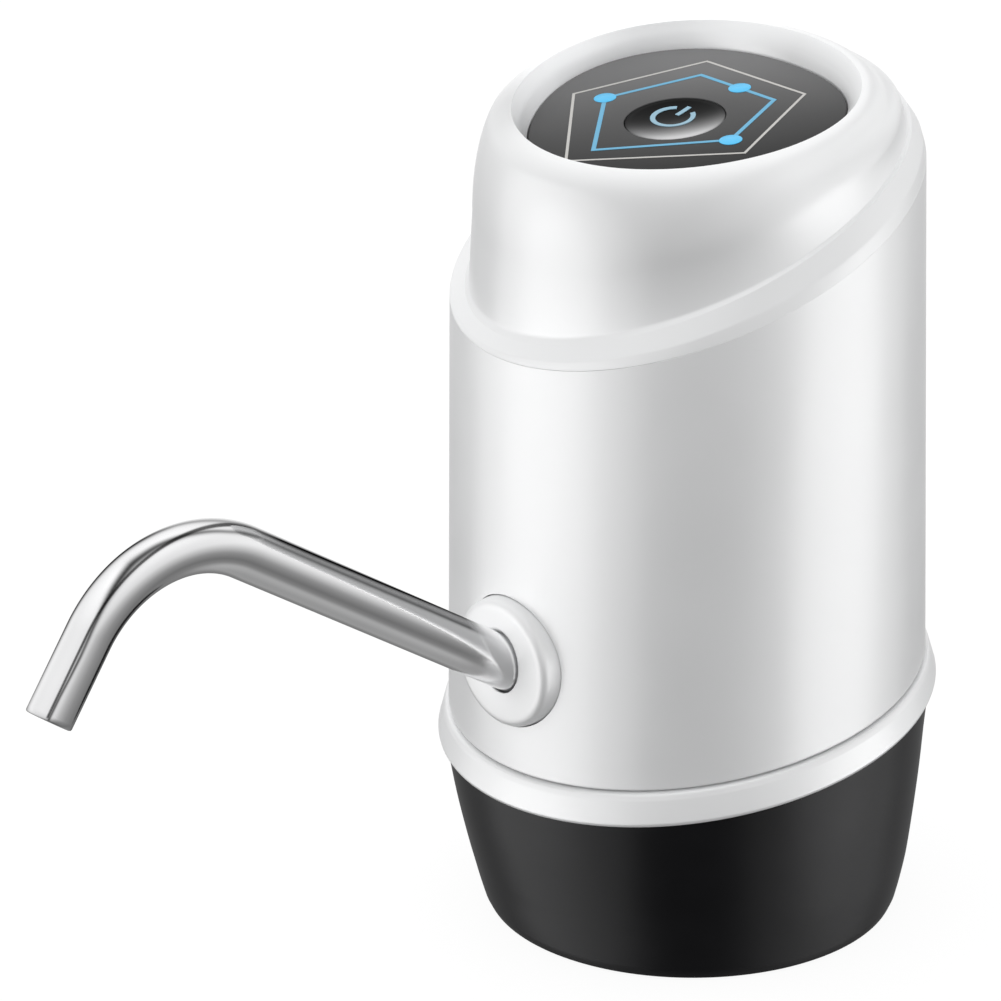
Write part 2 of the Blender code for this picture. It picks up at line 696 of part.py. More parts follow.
def make_top_cap():
    lip = []
    for step in range(LIP_STEPS + 1):
        angle = math.pi / 2 * (1 - step / LIP_STEPS)
        lip.append(
            (CREST_R + (CAP_SIDE_R - CREST_R) * math.cos(angle), LIP_START + LIP_HEIGHT * math.sin(angle))
        )
    skirt_outer = body_radius(BODY_HIGH) - BODY_WALL - FIT
    skirt_inner = skirt_outer - SKIRT_WALL
    skirt_low = SHOULDER_LOW - SKIRT_HEIGHT
    seat_r = PANEL_R + FIT
    ledge_r = seat_r - LEDGE_WIDTH
    ledge_low = PANEL_SEAT_H - LEDGE_THICK
    panel_top = PANEL_SEAT_H + FIT + PANEL_THICK
    funnel = []
    for radius_share, height_share in FUNNEL_SHARES:
        funnel.append(
            (seat_r + (CREST_R - seat_r) * radius_share, panel_top + (CREST_H - panel_top) * height_share)
        )
    outline = (
        lip
        + [
            (CAP_LOW_R, CAP_LOW + SHOULDER_EDGE),
            (CAP_LOW_R + SHOULDER_EDGE, CAP_LOW - SHOULDER_EDGE),
            (BODY_HIGH_R - SHOULDER_EDGE, SHOULDER_LOW + 2 * SHOULDER_EDGE),
            (BODY_HIGH_R, SHOULDER_LOW + SHOULDER_EDGE),
            (BODY_HIGH_R - SHOULDER_EDGE / 2, SHOULDER_LOW),
            (skirt_outer, SHOULDER_LOW),
            (skirt_outer, skirt_low),
            (skirt_inner, skirt_low),
            (skirt_inner, SHOULDER_LOW + SHOULDER_RISE / 2),
            (CAP_SIDE_R - CAP_WALL, ledge_low),
            (ledge_r, ledge_low),
            (ledge_r, PANEL_SEAT_H),
            (seat_r, PANEL_SEAT_H),
            (seat_r, panel_top),
        ]
        + funnel
    )
    return turned("top_cap", outline, SHELL_SIDES, "white_plastic", AXIS, leaned=True)


def make_control_panel():
    hole = BUTTON_R + FIT
    outline = (
        (PANEL_R, 0),
        (PANEL_R, -PANEL_THICK),
        (hole, -PANEL_THICK),
        (hole, 0),
    )
    panel = turned("control_panel", outline, SHELL_SIDES, "panel_plastic", PANEL)
    post_low = -BOARD_DROP + FIT
    for index, angle in enumerate(POST_ANGLES):
        place = around(POST_CIRCLE_R, angle)
        post = rod(
            f"panel_post_{index + 1}", POST_R, post_low, -PANEL_THICK + SINK, None, PANEL,
            sides=SCREW_SIDES, location=place,
        )
        join(panel, post)
        bore = rod(
            f"panel_post_bore_{index + 1}", SMALL_SCREW_R + FIT, post_low - OVERRUN,
            post_low + POST_HOLE_DEPTH, None, PANEL, sides=SCREW_SIDES, location=place,
        )
        cut(panel, bore)
    return panel


def make_power_button():
    flange_top = -PANEL_THICK - FIT
    flange_low = flange_top - BUTTON_FLANGE_THICK
    dish_r = BUTTON_R - BUTTON_RIM
    dish = []
    for step in range(DISH_STEPS + 1):
        share = step / DISH_STEPS
        dish.append((dish_r * share, -BUTTON_DISH * (1 - share * share)))
    outline = dish + [
        (BUTTON_R, -BUTTON_RIM),
        (BUTTON_R, flange_top),
        (BUTTON_FLANGE_R, flange_top),
        (BUTTON_FLANGE_R, flange_low),
        (0, flange_low),
    ]
    return turned("power_button", outline, PUMP_SIDES, "button_plastic", PANEL)


def make_switch():
    low = -BOARD_DROP + FIT
    top = low + SWITCH_HEIGHT
    half = SWITCH_SIDE / 2
    body = block("tact_switch", (-half, -half, low), (half, half, top), "rubber", PANEL)
    well = rod(
        "switch_well", PLUNGER_R + FIT, top - SWITCH_WELL_DEPTH, top + OVERRUN, None, PANEL
    )
    cut(body, well)
    plunger_top = -PANEL_THICK - 2 * FIT - BUTTON_FLANGE_THICK
    rod("switch_plunger", PLUNGER_R, plunger_top - PLUNGER_HEIGHT, plunger_top, "button_plastic", PANEL)


def make_circuit_board():
    board = rod(
        "circuit_board", BOARD_R, -BOARD_DROP - BOARD_THICK, -BOARD_DROP, "circuit_green", PANEL,
        sides=PUMP_SIDES,
    )
    for index, angle in enumerate(POST_ANGLES):
        place = around(POST_CIRCLE_R, angle)
        hole = rod(
            f"board_hole_{index + 1}", SMALL_SCREW_R + FIT, -BOARD_DROP - BOARD_THICK - OVERRUN,
            -BOARD_DROP + OVERRUN, None, PANEL, sides=SCREW_SIDES, location=place,
        )
        cut(board, hole)
        under = place + Vector((0, 0, -BOARD_DROP - BOARD_THICK - FIT))
        screw(
            f"board_screw_{index + 1}", SMALL_SCREW_R, SMALL_SCREW_HEAD_R, SMALL_SCREW_HEAD,
            BOARD_SCREW_LENGTH, PANEL, under, rotation=(math.pi, 0, 0),
        )
    return board


def make_leds():
    low = -BOARD_DROP + FIT
    for index, angle in enumerate(LED_ANGLES):
        block(
            f"led_{index + 1}",
            (-LED_LONG / 2, -LED_WIDE / 2, low),
            (LED_LONG / 2, LED_WIDE / 2, low + LED_HEIGHT),
            "led_resin", PANEL, location=around(LED_CIRCLE_R, angle),
            rotation=(0, 0, math.radians(angle)),
        )


def make_light_guide():
    top = -PANEL_THICK - FIT
    low = -BOARD_DROP + 2 * FIT + LED_HEIGHT
    outline = ((GUIDE_OUTER_R, top), (GUIDE_OUTER_R, low), (GUIDE_INNER_R, low), (GUIDE_INNER_R, top))
    return turned("light_guide", outline, PUMP_SIDES, "diffuser", PANEL)


def make_chassis():
    outline = (
        (CHASSIS_R, CHASSIS_TOP),
        (CHASSIS_R, CHASSIS_LOW),
        (BARB_R + FIT, CHASSIS_LOW),
        (BARB_R + FIT, CHASSIS_TOP),
    )
    chassis = turned("chassis", outline, PUMP_SIDES, "frame_plastic", AXIS)
    for index, angle in enumerate(BASE_SCREW_ANGLES):
        place = around(BASE_SCREW_CIRCLE_R, angle)
        boss = rod(
            f"chassis_boss_{index + 1}", BASE_BOSS_R, CHASSIS_TOP - SINK, CHASSIS_TOP + BASE_BOSS_HEIGHT,
            None, AXIS, sides=SCREW_SIDES, location=place,
        )
        join(chassis, boss)
        bore = rod(
            f"chassis_bore_{index + 1}", BASE_SCREW_R + FIT, CHASSIS_LOW - OVERRUN,
            SOCKET_DEPTH + BASE_SCREW_LENGTH + FIT, None, AXIS, sides=SCREW_SIDES, location=place,
        )
        cut(chassis, bore)
    wall_top = CHASSIS_TOP + BACK_WALL_HEIGHT
    wall = block(
        "chassis_wall",
        (-BACK_WALL_WIDTH / 2, BACK_WALL_Y, CHASSIS_TOP - SINK),
        (BACK_WALL_WIDTH / 2, BACK_WALL_Y + BACK_WALL_THICK, wall_top),
        None, AXIS,
    )
    join(chassis, wall)
    clamp_outer = MOTOR_R + FIT + CLAMP_WALL
    clamp_low = wall_top - CLAMP_HEIGHT
    clamp = rod("clamp_ring", clamp_outer, clamp_low, wall_top, None, AXIS, sides=PUMP_SIDES)
    web = block(
        "clamp_web",
        (-CLAMP_WEB_WIDTH / 2, MOTOR_R, clamp_low),
        (CLAMP_WEB_WIDTH / 2, BACK_WALL_Y + SINK, wall_top),
        None, AXIS,
    )
    bore = rod(
        "clamp_bore", MOTOR_R + FIT, clamp_low - OVERRUN, wall_top + OVERRUN, None, AXIS, sides=PUMP_SIDES
    )
    join(chassis, web)
    join(chassis, clamp)
    cut(chassis, bore)
    for index, side in enumerate((-1, 1)):
        place = (0, BACK_WALL_Y, CHARGE_H + side * CHARGE_SCREW_RISE)
        hole = rod(
            f"wall_hole_{index + 1}", SMALL_SCREW_R + FIT, -BACK_WALL_THICK - OVERRUN, OVERRUN,
            None, AXIS, sides=SCREW_SIDES, location=place, rotation=(math.pi / 2, 0, 0),
        )
        cut(chassis, hole)
    return chassis


COVER_LOW = CHASSIS_TOP + FIT
COVER_TOP = COVER_LOW + COVER_HEIGHT
VALVE_LOW = COVER_TOP + FIT
VALVE_TOP = VALVE_LOW + VALVE_THICK
DIAPHRAGM_LOW = VALVE_TOP + FIT
DIAPHRAGM_TOP = DIAPHRAGM_LOW + DIAPHRAGM_THICK
CASE_LOW = DIAPHRAGM_TOP + FIT
CASE_TOP = CASE_LOW + PUMP_CASE_HEIGHT
WOBBLE_LOW = DIAPHRAGM_TOP + LOBE_HEIGHT + FIT
MOTOR_LOW = CASE_TOP + FIT
MOTOR_TOP = MOTOR_LOW + MOTOR_LENGTH
CRANK_TOP = CASE_TOP - PUMP_CASE_TOP - FIT
CRANK_LOW = CRANK_TOP - CRANK_HEIGHT


def add_ears(obj, low, high):
    """Three screw ears on a round plate, each with its hole."""
    for index, angle in enumerate(EAR_ANGLES):
        place = around(EAR_CIRCLE_R, angle)
        ear = rod(f"{obj.name}_ear_{index + 1}", EAR_R, low, high, None, AXIS, SCREW_SIDES, place)
        join(obj, ear)


def cut_ear_holes(obj, low, high):
    for index, angle in enumerate(EAR_ANGLES):
        place = around(EAR_CIRCLE_R, angle)
        hole = rod(
            f"{obj.name}_hole_{index + 1}", PUMP_SCREW_R + FIT, low, high, None, AXIS, SCREW_SIDES, place
        )
        cut(obj, hole)


def make_pump_cover():
    """Cover with the inlet nipple under it and the outlet port on its front."""
    outline = [
        (PUMP_R, COVER_TOP),
        (PUMP_R, COVER_LOW),
        (INLET_R, COVER_LOW),
    ]
    tip = COVER_LOW - INLET_LENGTH
    for index in reversed(range(BARB_COUNT)):
        low = tip + index * BARB_PITCH
        outline += [(INLET_R, low + BARB_PITCH), (BARB_R, low + BARB_PITCH)]
        outline += [(INLET_R, low)]
    outline += [
        (INLET_BORE_R, tip),
        (INLET_BORE_R, COVER_LOW + COVER_FLOOR),
        (CHAMBER_WALL_R - CHAMBER_WALL, COVER_LOW + COVER_FLOOR),
        (CHAMBER_WALL_R - CHAMBER_WALL, COVER_TOP),
        (CHAMBER_WALL_R, COVER_TOP),
        (CHAMBER_WALL_R, COVER_LOW + COVER_FLOOR),
        (PUMP_R - PUMP_WALL, COVER_LOW + COVER_FLOOR),
        (PUMP_R - PUMP_WALL, COVER_TOP),
    ]
    cover = turned("pump_cover", outline, PUMP_SIDES, "frame_plastic", AXIS)
    add_ears(cover, COVER_TOP - EAR_HEIGHT, COVER_TOP)
    cut_ear_holes(cover, COVER_TOP - EAR_HEIGHT - OVERRUN, COVER_TOP + OVERRUN)
    port_out = PORT_TO + PORT_LENGTH
    port = rod("outlet_port", TUBE_ROOT_R, PORT_TO, port_out, None, OUTLET)
    join(cover, port)
    bore = rod("outlet_port_bore", PORT_BORE_R, PORT_TO - OVERRUN, port_out + OVERRUN, None, OUTLET)
    cut(cover, bore)
    return cover


def make_valve_plate():
    plate = rod("valve_plate", PUMP_R, VALVE_LOW, VALVE_TOP, "frame_plastic", AXIS, sides=PUMP_SIDES)
    add_ears(plate, VALVE_LOW, VALVE_TOP)
    cut_ear_holes(plate, VALVE_LOW - OVERRUN, VALVE_TOP + OVERRUN)
    inlet = rod(
        "valve_inlet", VALVE_PORT_R, VALVE_LOW - OVERRUN, VALVE_TOP + OVERRUN, None, AXIS, SCREW_SIDES
    )
    cut(plate, inlet)
    for index, angle in enumerate(LOBE_ANGLES):
        place = around(VALVE_PORT_CIRCLE_R, angle)
        port = rod(
            f"valve_port_{index + 1}", VALVE_PORT_R, VALVE_LOW - OVERRUN, VALVE_TOP + OVERRUN,
            None, AXIS, SCREW_SIDES, place,
        )
        cut(plate, port)
    return plate


def make_diaphragm():
    sheet = rod("diaphragm", PUMP_R, DIAPHRAGM_LOW, DIAPHRAGM_TOP, "rubber", AXIS, sides=PUMP_SIDES)
    add_ears(sheet, DIAPHRAGM_LOW, DIAPHRAGM_TOP)
    cut_ear_holes(sheet, DIAPHRAGM_LOW - OVERRUN, DIAPHRAGM_TOP + OVERRUN)
    for index, angle in enumerate(LOBE_ANGLES):
        lobe = rod(
            f"diaphragm_lobe_{index + 1}", LOBE_R, DIAPHRAGM_TOP - SINK, DIAPHRAGM_TOP + LOBE_HEIGHT,
            None, AXIS, SMALL_SIDES, around(LOBE_CIRCLE_R, angle),
        )
        join(sheet, lobe)
    return sheet


def make_wobble_plate():
    top = WOBBLE_LOW + WOBBLE_THICK
    plate = rod("wobble_plate", WOBBLE_R, WOBBLE_LOW, top, "white_plastic", AXIS)
    pin = rod(
        "wobble_pin", WOBBLE_PIN_R, -SINK, WOBBLE_PIN_LENGTH, None, AXIS, SCREW_SIDES,
        location=(0, 0, top), rotation=(0, WOBBLE_PIN_TILT, 0),
    )
    join(plate, pin)
    return plate


def make_pump_case():
    nose_hole = MOTOR_NOSE_R + FIT
    outline = (
        (PUMP_R, CASE_TOP),
        (PUMP_R, CASE_LOW),
        (PUMP_R - PUMP_WALL, CASE_LOW),
        (PUMP_R - PUMP_WALL, CASE_TOP - PUMP_CASE_TOP),
        (nose_hole, CASE_TOP - PUMP_CASE_TOP),
        (nose_hole, CASE_TOP),
    )
    case = turned("pump_case", outline, PUMP_SIDES, "frame_plastic", AXIS)
    add_ears(case, CASE_LOW, CASE_LOW + EAR_HEIGHT)
    inside = rod(
        "case_inside", PUMP_R - PUMP_WALL, CASE_LOW - OVERRUN, CASE_TOP - PUMP_CASE_TOP, None, AXIS,
        PUMP_SIDES,
    )
    cut(case, inside)
    cut_ear_holes(case, CASE_LOW - OVERRUN, CASE_LOW + EAR_HEIGHT + OVERRUN)
    for index, angle in enumerate(EAR_ANGLES):
        place = around(EAR_CIRCLE_R, angle, CASE_LOW + EAR_HEIGHT + FIT)
        screw(
            f"pump_screw_{index + 1}", PUMP_SCREW_R, PUMP_SCREW_HEAD_R, PUMP_SCREW_HEAD,
            PUMP_SCREW_LENGTH, AXIS, place,
        )
    return case


def make_crank():
    outline = (
        (0, CRANK_TOP - CRANK_SOCKET_DEPTH),
        (SHAFT_R + FIT, CRANK_TOP - CRANK_SOCKET_DEPTH),
        (SHAFT_R + FIT, CRANK_TOP),
        (CRANK_R, CRANK_TOP),
        (CRANK_R, CRANK_LOW),
        (CRANK_WELL_R, CRANK_LOW),
        (CRANK_WELL_R, CRANK_LOW + CRANK_WELL_DEPTH),
        (0, CRANK_LOW + CRANK_WELL_DEPTH),
    )
    crank = turned("crank", outline, SMALL_SIDES, "white_plastic", AXIS)
    flat = block(
        "crank_flat",
        (CRANK_R - CRANK_FLAT, -CRANK_R, CRANK_LOW - OVERRUN),
        (CRANK_R + OVERRUN, CRANK_R, CRANK_TOP + OVERRUN),
        None, AXIS,
    )
    cut(crank, flat)
    shaft_low = CRANK_TOP - CRANK_SOCKET_DEPTH + FIT
    shaft_top = MOTOR_LOW - MOTOR_NOSE + MOTOR_BORE_DEPTH - FIT
    rod("motor_shaft", SHAFT_R, shaft_low, shaft_top, "steel", AXIS, SCREW_SIDES)


def make_motor():
    nose_low = MOTOR_LOW - MOTOR_NOSE
    outline = (
        (0, MOTOR_TOP),
        (MOTOR_R - MOTOR_EDGE, MOTOR_TOP),
        (MOTOR_R, MOTOR_TOP - MOTOR_EDGE),
        (MOTOR_R, MOTOR_LOW + MOTOR_EDGE),
        (MOTOR_R - MOTOR_EDGE, MOTOR_LOW),
        (MOTOR_NOSE_R, MOTOR_LOW),
        (MOTOR_NOSE_R, nose_low),
        (SHAFT_R + FIT, nose_low),
        (SHAFT_R + FIT, nose_low + MOTOR_BORE_DEPTH),
        (0, nose_low + MOTOR_BORE_DEPTH),
    )
    turned("motor_can", outline, PUMP_SIDES, "motor_steel", AXIS)
    low = MOTOR_TOP + FIT
    top = low + END_BELL_THICK
    bell_outline = (
        (0, top + END_BOSS_HEIGHT),
        (END_BOSS_R, top + END_BOSS_HEIGHT),
        (END_BOSS_R, top),
        (END_BELL_R, top),
        (END_BELL_R, low),
        (0, low),
    )
    bell = turned("motor_end_bell", bell_outline, PUMP_SIDES, "black_plastic", AXIS)
    for index, side in enumerate((-1, 1)):
        centre = side * TERMINAL_SPREAD
        half_wide, half_thick = TERMINAL_WIDE / 2, TERMINAL_THICK / 2
        foot = low + SINK
        slot = block(
            f"terminal_slot_{index + 1}",
            (-half_thick - FIT, -half_wide - FIT, foot - FIT),
            (half_thick + FIT, half_wide + FIT, top + OVERRUN),
            None, AXIS, location=(0, centre, 0),
        )
        cut(bell, slot)
        block(
            f"motor_terminal_{index + 1}",
            (-half_thick, -half_wide, foot),
            (half_thick, half_wide, foot + TERMINAL_HEIGHT),
            "contact_metal", AXIS, location=(0, centre, 0),
        )


CRADLE_FLOOR = CHASSIS_TOP + CRADLE_LEG
CELL_LOW = CRADLE_FLOOR + CRADLE_PLATE + 2 * FIT + TAB_THICK
CELL_TOP = CELL_LOW + CELL_LENGTH
CRADLE_ROOF = CELL_TOP + CELL_CROWN + 2 * FIT + TAB_THICK


def make_battery():
    outline = (
        (0, CELL_TOP + CELL_CROWN),
        (CELL_CROWN_R, CELL_TOP + CELL_CROWN),
        (CELL_CROWN_R, CELL_TOP),
        (CELL_R - CELL_EDGE, CELL_TOP),
        (CELL_R, CELL_TOP - CELL_EDGE),
        (CELL_R, CELL_LOW + CELL_EDGE),
        (CELL_R - CELL_EDGE, CELL_LOW),
        (0, CELL_LOW),
    )
    turned("battery_cell", outline, PUMP_SIDES, "cell_wrap", AXIS, location=(CELL_X, 0, 0))
    half = TAB_SIDE / 2
    low = CELL_LOW - FIT - TAB_THICK
    block(
        "battery_tab_low", (CELL_X - half, -half, low), (LOW_TAB_TO_X, LOW_TAB_SIDE_REACH, low + TAB_THICK),
        "contact_metal", AXIS,
    )
    low = CELL_TOP + CELL_CROWN + FIT
    block(
        "battery_tab_top", (CELL_X - half, -half, low), (TOP_TAB_TO_X, half, low + TAB_THICK),
        "contact_metal", AXIS,
    )


def make_battery_cradle():
    half = CELL_R + 2 * FIT + CRADLE_WALL
    cradle = block(
        "battery_cradle",
        (CELL_X - CRADLE_PLATE_OUT, -half, CRADLE_FLOOR),
        (CELL_X + CRADLE_PLATE_IN, half, CRADLE_FLOOR + CRADLE_PLATE),
        "frame_plastic", AXIS,
    )
    roof = block(
        "cradle_roof",
        (CELL_X - CRADLE_PLATE_OUT, -half, CRADLE_ROOF),
        (CELL_X + CRADLE_PLATE_IN, half, CRADLE_ROOF + CRADLE_PLATE),
        None, AXIS,
    )
    for index, side in enumerate((-1, 1)):
        near, far = sorted((side * (half - CRADLE_WALL), side * half))
        wall = block(
            f"cradle_wall_{index + 1}",
            (CELL_X - CRADLE_WALL_OUT, near, CHASSIS_TOP + FIT),
            (CELL_X + CRADLE_WALL_IN, far, CRADLE_ROOF + CRADLE_PLATE),
            None, AXIS,
        )
        join(cradle, wall)
    join(cradle, roof)
    return cradle


def make_charging():
    board_y = BACK_WALL_Y + BACK_WALL_THICK + FIT
    board_back = board_y + CHARGE_BOARD_THICK
    half_wide, half_high = CHARGE_BOARD_WIDE / 2, CHARGE_BOARD_HIGH / 2
    board = block(
        "charge_board",
        (-half_wide, board_y, CHARGE_H - half_high),
        (half_wide, board_back, CHARGE_H + half_high),
        "circuit_green", AXIS,
    )
    for index, side in enumerate((-1, 1)):
        height = CHARGE_H + side * CHARGE_SCREW_RISE
        hole = rod(
            f"charge_board_hole_{index + 1}", SMALL_SCREW_R + FIT, -OVERRUN, CHARGE_BOARD_THICK + OVERRUN,
            None, AXIS, SCREW_SIDES, location=(0, board_back, height), rotation=(math.pi / 2, 0, 0),
        )
        cut(board, hole)
        screw(
            f"charge_screw_{index + 1}", SMALL_SCREW_R, SMALL_SCREW_HEAD_R, SMALL_SCREW_HEAD,
            CHARGE_SCREW_LENGTH, AXIS, (0, board_back + FIT, height), rotation=(-math.pi / 2, 0, 0),
        )
    low_y = board_back + FIT
    high_y = low_y + CHARGE_DEEP
    wide, high = CHARGE_WIDE / 2, CHARGE_HIGH / 2
    socket = block(
        "charge_socket", (-wide, low_y, CHARGE_H - high), (wide, high_y, CHARGE_H + high), "steel", AXIS
    )
    mouth = block(
        "charge_mouth",
        (-wide + CHARGE_SHEET, high_y - CHARGE_MOUTH_DEPTH, CHARGE_H - high + CHARGE_SHEET),
        (wide - CHARGE_SHEET, high_y + OVERRUN, CHARGE_H + high - CHARGE_SHEET),
        None, AXIS,
    )
    cut(socket, mouth)
    wide, high = CHARGE_TONGUE_WIDE / 2, CHARGE_TONGUE_THICK / 2
    tongue = block(
        "charge_tongue",
        (-wide, high_y - CHARGE_MOUTH_DEPTH - CHARGE_SHEET, CHARGE_H - high),
        (wide, high_y - CHARGE_SHEET, CHARGE_H + high),
        None, AXIS,
    )
    join(socket, tongue)


def make_spout_boss():
    face = -BOSS_FACE_Y
    outline = (
        (0, face),
        (BOSS_FACE_R - BOSS_ROUND, face),
        (BOSS_FACE_R - BOSS_ROUND / 3, face - BOSS_ROUND_DEEP / 3),
        (BOSS_FACE_R, face - BOSS_ROUND_DEEP),
        (BOSS_R, face - BOSS_TAPER),
        (BOSS_R, face - BOSS_DEPTH),
        (0, face - BOSS_DEPTH),
    )
    boss = turned(
        "spout_boss", outline, BOSS_SIDES, "white_plastic", AXIS,
        location=(0, 0, OUTLET_H - BOSS_DROP), rotation=(math.pi / 2, 0, 0),
    )
    sleeve = rod("boss_sleeve", SLEEVE_R, SLEEVE_TO, SLEEVE_FROM, None, OUTLET, PUMP_SIDES)
    join(boss, sleeve)
    mouth = rod(
        "boss_mouth", TUBE_ROOT_R + MOUTH_GAP, -BOSS_MOUTH_DEPTH - OVERRUN, BOSS_R, None, OUTLET, PUMP_SIDES
    )
    cut(boss, mouth)
    counterbore = rod(
        "boss_counterbore", TUBE_ROOT_R + SEAL_WALL + 2 * FIT, SLEEVE_TO - OVERRUN, -BOSS_MOUTH_DEPTH,
        None, OUTLET, PUMP_SIDES,
    )
    cut(boss, counterbore)
    return boss


def sleeve_outline(inner, wall, top, length):
    return ((inner + wall, top), (inner + wall, top - length), (inner, top - length), (inner, top))


def make_seal_and_hose():
    inner = TUBE_ROOT_R + FIT
    seal_top = -BOSS_MOUTH_DEPTH - FIT
    seal = sleeve_outline(inner, SEAL_WALL, seal_top, SEAL_LENGTH)
    turned("spout_seal", seal, SMALL_SIDES, "rubber", OUTLET)
    hose = sleeve_outline(inner, SEAL_WALL, seal_top - SEAL_LENGTH - FIT, HOSE_LENGTH)
    turned("outlet_hose", hose, SMALL_SIDES, "silicone", OUTLET)


def make_spout():
    outer = curve_mesh("spout", spout_path(), spout_radii(0), TUBE_RESOLUTION)
    spout = add_object("spout", outer, "steel", OUTLET)
    inside = curve_mesh("spout_bore", spout_path(OVERRUN), spout_radii(TUBE_WALL), TUBE_RESOLUTION)
    bore = add_object("spout_bore", inside, None, OUTLET)
    cut(spout, bore)
    return spout


def board_underside(x, y):
    """Height of the circuit board's lower face over a point of the pump's plan."""
    centre = PANEL_NORMAL * (-BOARD_DROP - BOARD_THICK)
    rise = (PANEL_NORMAL.x * (centre.x - x) + PANEL_NORMAL.y * (centre.y - y)) / PANEL_NORMAL.z
    return PANEL_H + centre.z + rise


def make_wire(name, material, start, straight_to, board_x, board_y):
    """A wire that rises straight from its terminal and then bends over to the circuit board."""
    low = Vector(start)
    turn = Vector((low.x, low.y, straight_to))
    end = Vector((board_x, board_y, board_underside(board_x, board_y) - FIT - WIRE_R / 2))
    points = [low]
    for step in range(WIRE_STEPS + 1):
        share = step / WIRE_STEPS
        drift = share * share * (3 - 2 * share)
        points.append(
            Vector((
                turn.x + (end.x - turn.x) * drift,
                turn.y + (end.y - turn.y) * drift,
                turn.z + (end.z - turn.z) * share,
            ))
        )
    mesh = curve_mesh(name, points, [WIRE_R] * len(points), WIRE_RESOLUTION)
    return add_object(name, mesh, material, AXIS)


def make_wires():
    terminal_top = MOTOR_TOP + FIT + SINK + TERMINAL_HEIGHT + FIT
    for name, material, side, board_y in (
        ("motor_wire_red", "red_wire", -1, -WIRE_BOARD_Y),
        ("motor_wire_black", "black_wire", 1, 0),
    ):
        start = (0, side * TERMINAL_SPREAD, terminal_top)
        make_wire(name, material, start, terminal_top + WIRE_R, -WIRE_BOARD_X, board_y)
    top_tab = CELL_TOP + CELL_CROWN + FIT + TAB_THICK + FIT
    start = (TOP_TAB_TO_X - WIRE_R, 0, top_tab)
    make_wire("battery_wire_red", "red_wire", start, top_tab + WIRE_R, WIRE_BOARD_X, -WIRE_BOARD_Y)
    start = (LOW_TAB_TO_X - WIRE_R, LOW_TAB_SIDE_REACH - WIRE_R, CELL_LOW)
    make_wire("battery_wire_black", "black_wire", start, top_tab, 2 * WIRE_BOARD_X, WIRE_BOARD_Y)
    board_y = BACK_WALL_Y + BACK_WALL_THICK + FIT + CHARGE_BOARD_THICK / 2
    board_top = CHARGE_H + CHARGE_BOARD_HIGH / 2 + FIT
    over_wall = CHASSIS_TOP + BACK_WALL_HEIGHT + WIRE_RISE_OVER_WALL
    for name, material, x in (
        ("charge_wire_red", "red_wire", WIRE_SPREAD),
        ("charge_wire_black", "black_wire", -WIRE_SPREAD),
    ):
        make_wire(name, material, (x, board_y, board_top), over_wall, x, WIRE_BOARD_Y)


def make_base_screws():
    for index, angle in enumerate(BASE_SCREW_ANGLES):
        place = around(BASE_SCREW_CIRCLE_R, angle, SOCKET_DEPTH - FIT)
        screw(
            f"base_screw_{index + 1}", BASE_SCREW_R, BASE_SCREW_HEAD_R, BASE_SCREW_HEAD,
            BASE_SCREW_LENGTH, AXIS, place, rotation=(math.pi, 0, 0),
        )


def build():
    make_base_cup()
    make_neck_socket()
    make_neck_gasket()
    make_base_ring()
    make_body_shell()
    make_top_cap()
    make_control_panel()
    make_power_button()
    make_switch()
    make_circuit_board()
    make_leds()
    make_light_guide()
    make_chassis()
    make_pump_cover()
    make_valve_plate()
    make_diaphragm()
    make_wobble_plate()
    make_pump_case()
    make_crank()
    make_motor()
    make_battery()
    make_battery_cradle()
    make_charging()
    make_spout_boss()
    make_seal_and_hose()
    make_spout()
    make_wires()
    make_base_screws()


build()
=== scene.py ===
import math

import bmesh
import bpy
from mathutils import Matrix, Vector


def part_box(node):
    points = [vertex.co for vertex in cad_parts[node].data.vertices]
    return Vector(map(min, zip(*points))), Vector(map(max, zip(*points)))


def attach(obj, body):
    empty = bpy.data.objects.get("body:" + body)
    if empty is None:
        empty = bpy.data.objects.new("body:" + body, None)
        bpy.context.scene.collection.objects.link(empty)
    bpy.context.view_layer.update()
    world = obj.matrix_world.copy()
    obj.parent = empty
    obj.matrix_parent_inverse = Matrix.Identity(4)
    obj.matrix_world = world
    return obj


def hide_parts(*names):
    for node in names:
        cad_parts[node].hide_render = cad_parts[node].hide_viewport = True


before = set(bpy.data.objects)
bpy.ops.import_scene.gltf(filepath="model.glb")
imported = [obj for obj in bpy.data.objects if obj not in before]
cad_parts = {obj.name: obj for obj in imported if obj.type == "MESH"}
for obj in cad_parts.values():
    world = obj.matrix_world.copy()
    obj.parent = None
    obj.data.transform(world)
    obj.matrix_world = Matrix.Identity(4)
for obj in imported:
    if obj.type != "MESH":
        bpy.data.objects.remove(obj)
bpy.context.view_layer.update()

# Lengths are in millimetres until a mesh is made.
MM = 0.001

# The pump's vertical axis, from the motor that sits on it
motor_low, motor_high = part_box("motor_can")
AXIS_Y = (motor_low.y + motor_high.y) / 2 / MM

# Heights and radii of the shells: those of part.py, save for a few that follow the photograph more closely
SHELL_SIDES = 160
ROUND_SIDES = 96
SLEEVE_SIDES = 64
BASE_HEIGHT = 34.0
BODY_LOW = 39.1
BODY_HIGH = 113.1
CAP_LOW = 118.0
LIP_START = 122.6
CREST_H = 132.85
BASE_FOOT_R = 33.0
BODY_LOW_R = 38.1
BODY_HIGH_R = 36.45
CAP_SIDE_R = 32.7
CREST_R = 26.65
WALL = 2.0
# Clearance round the boss, the panel and the button
GAP = 0.1
RING_LEAN = math.tan(math.radians(9.6))
SHOULDER_LEAN = math.tan(math.radians(22.3))
RIM_LEAN_X = -math.tan(math.radians(3.15))
RIM_LEAN_Y = math.tan(math.radians(10.2))

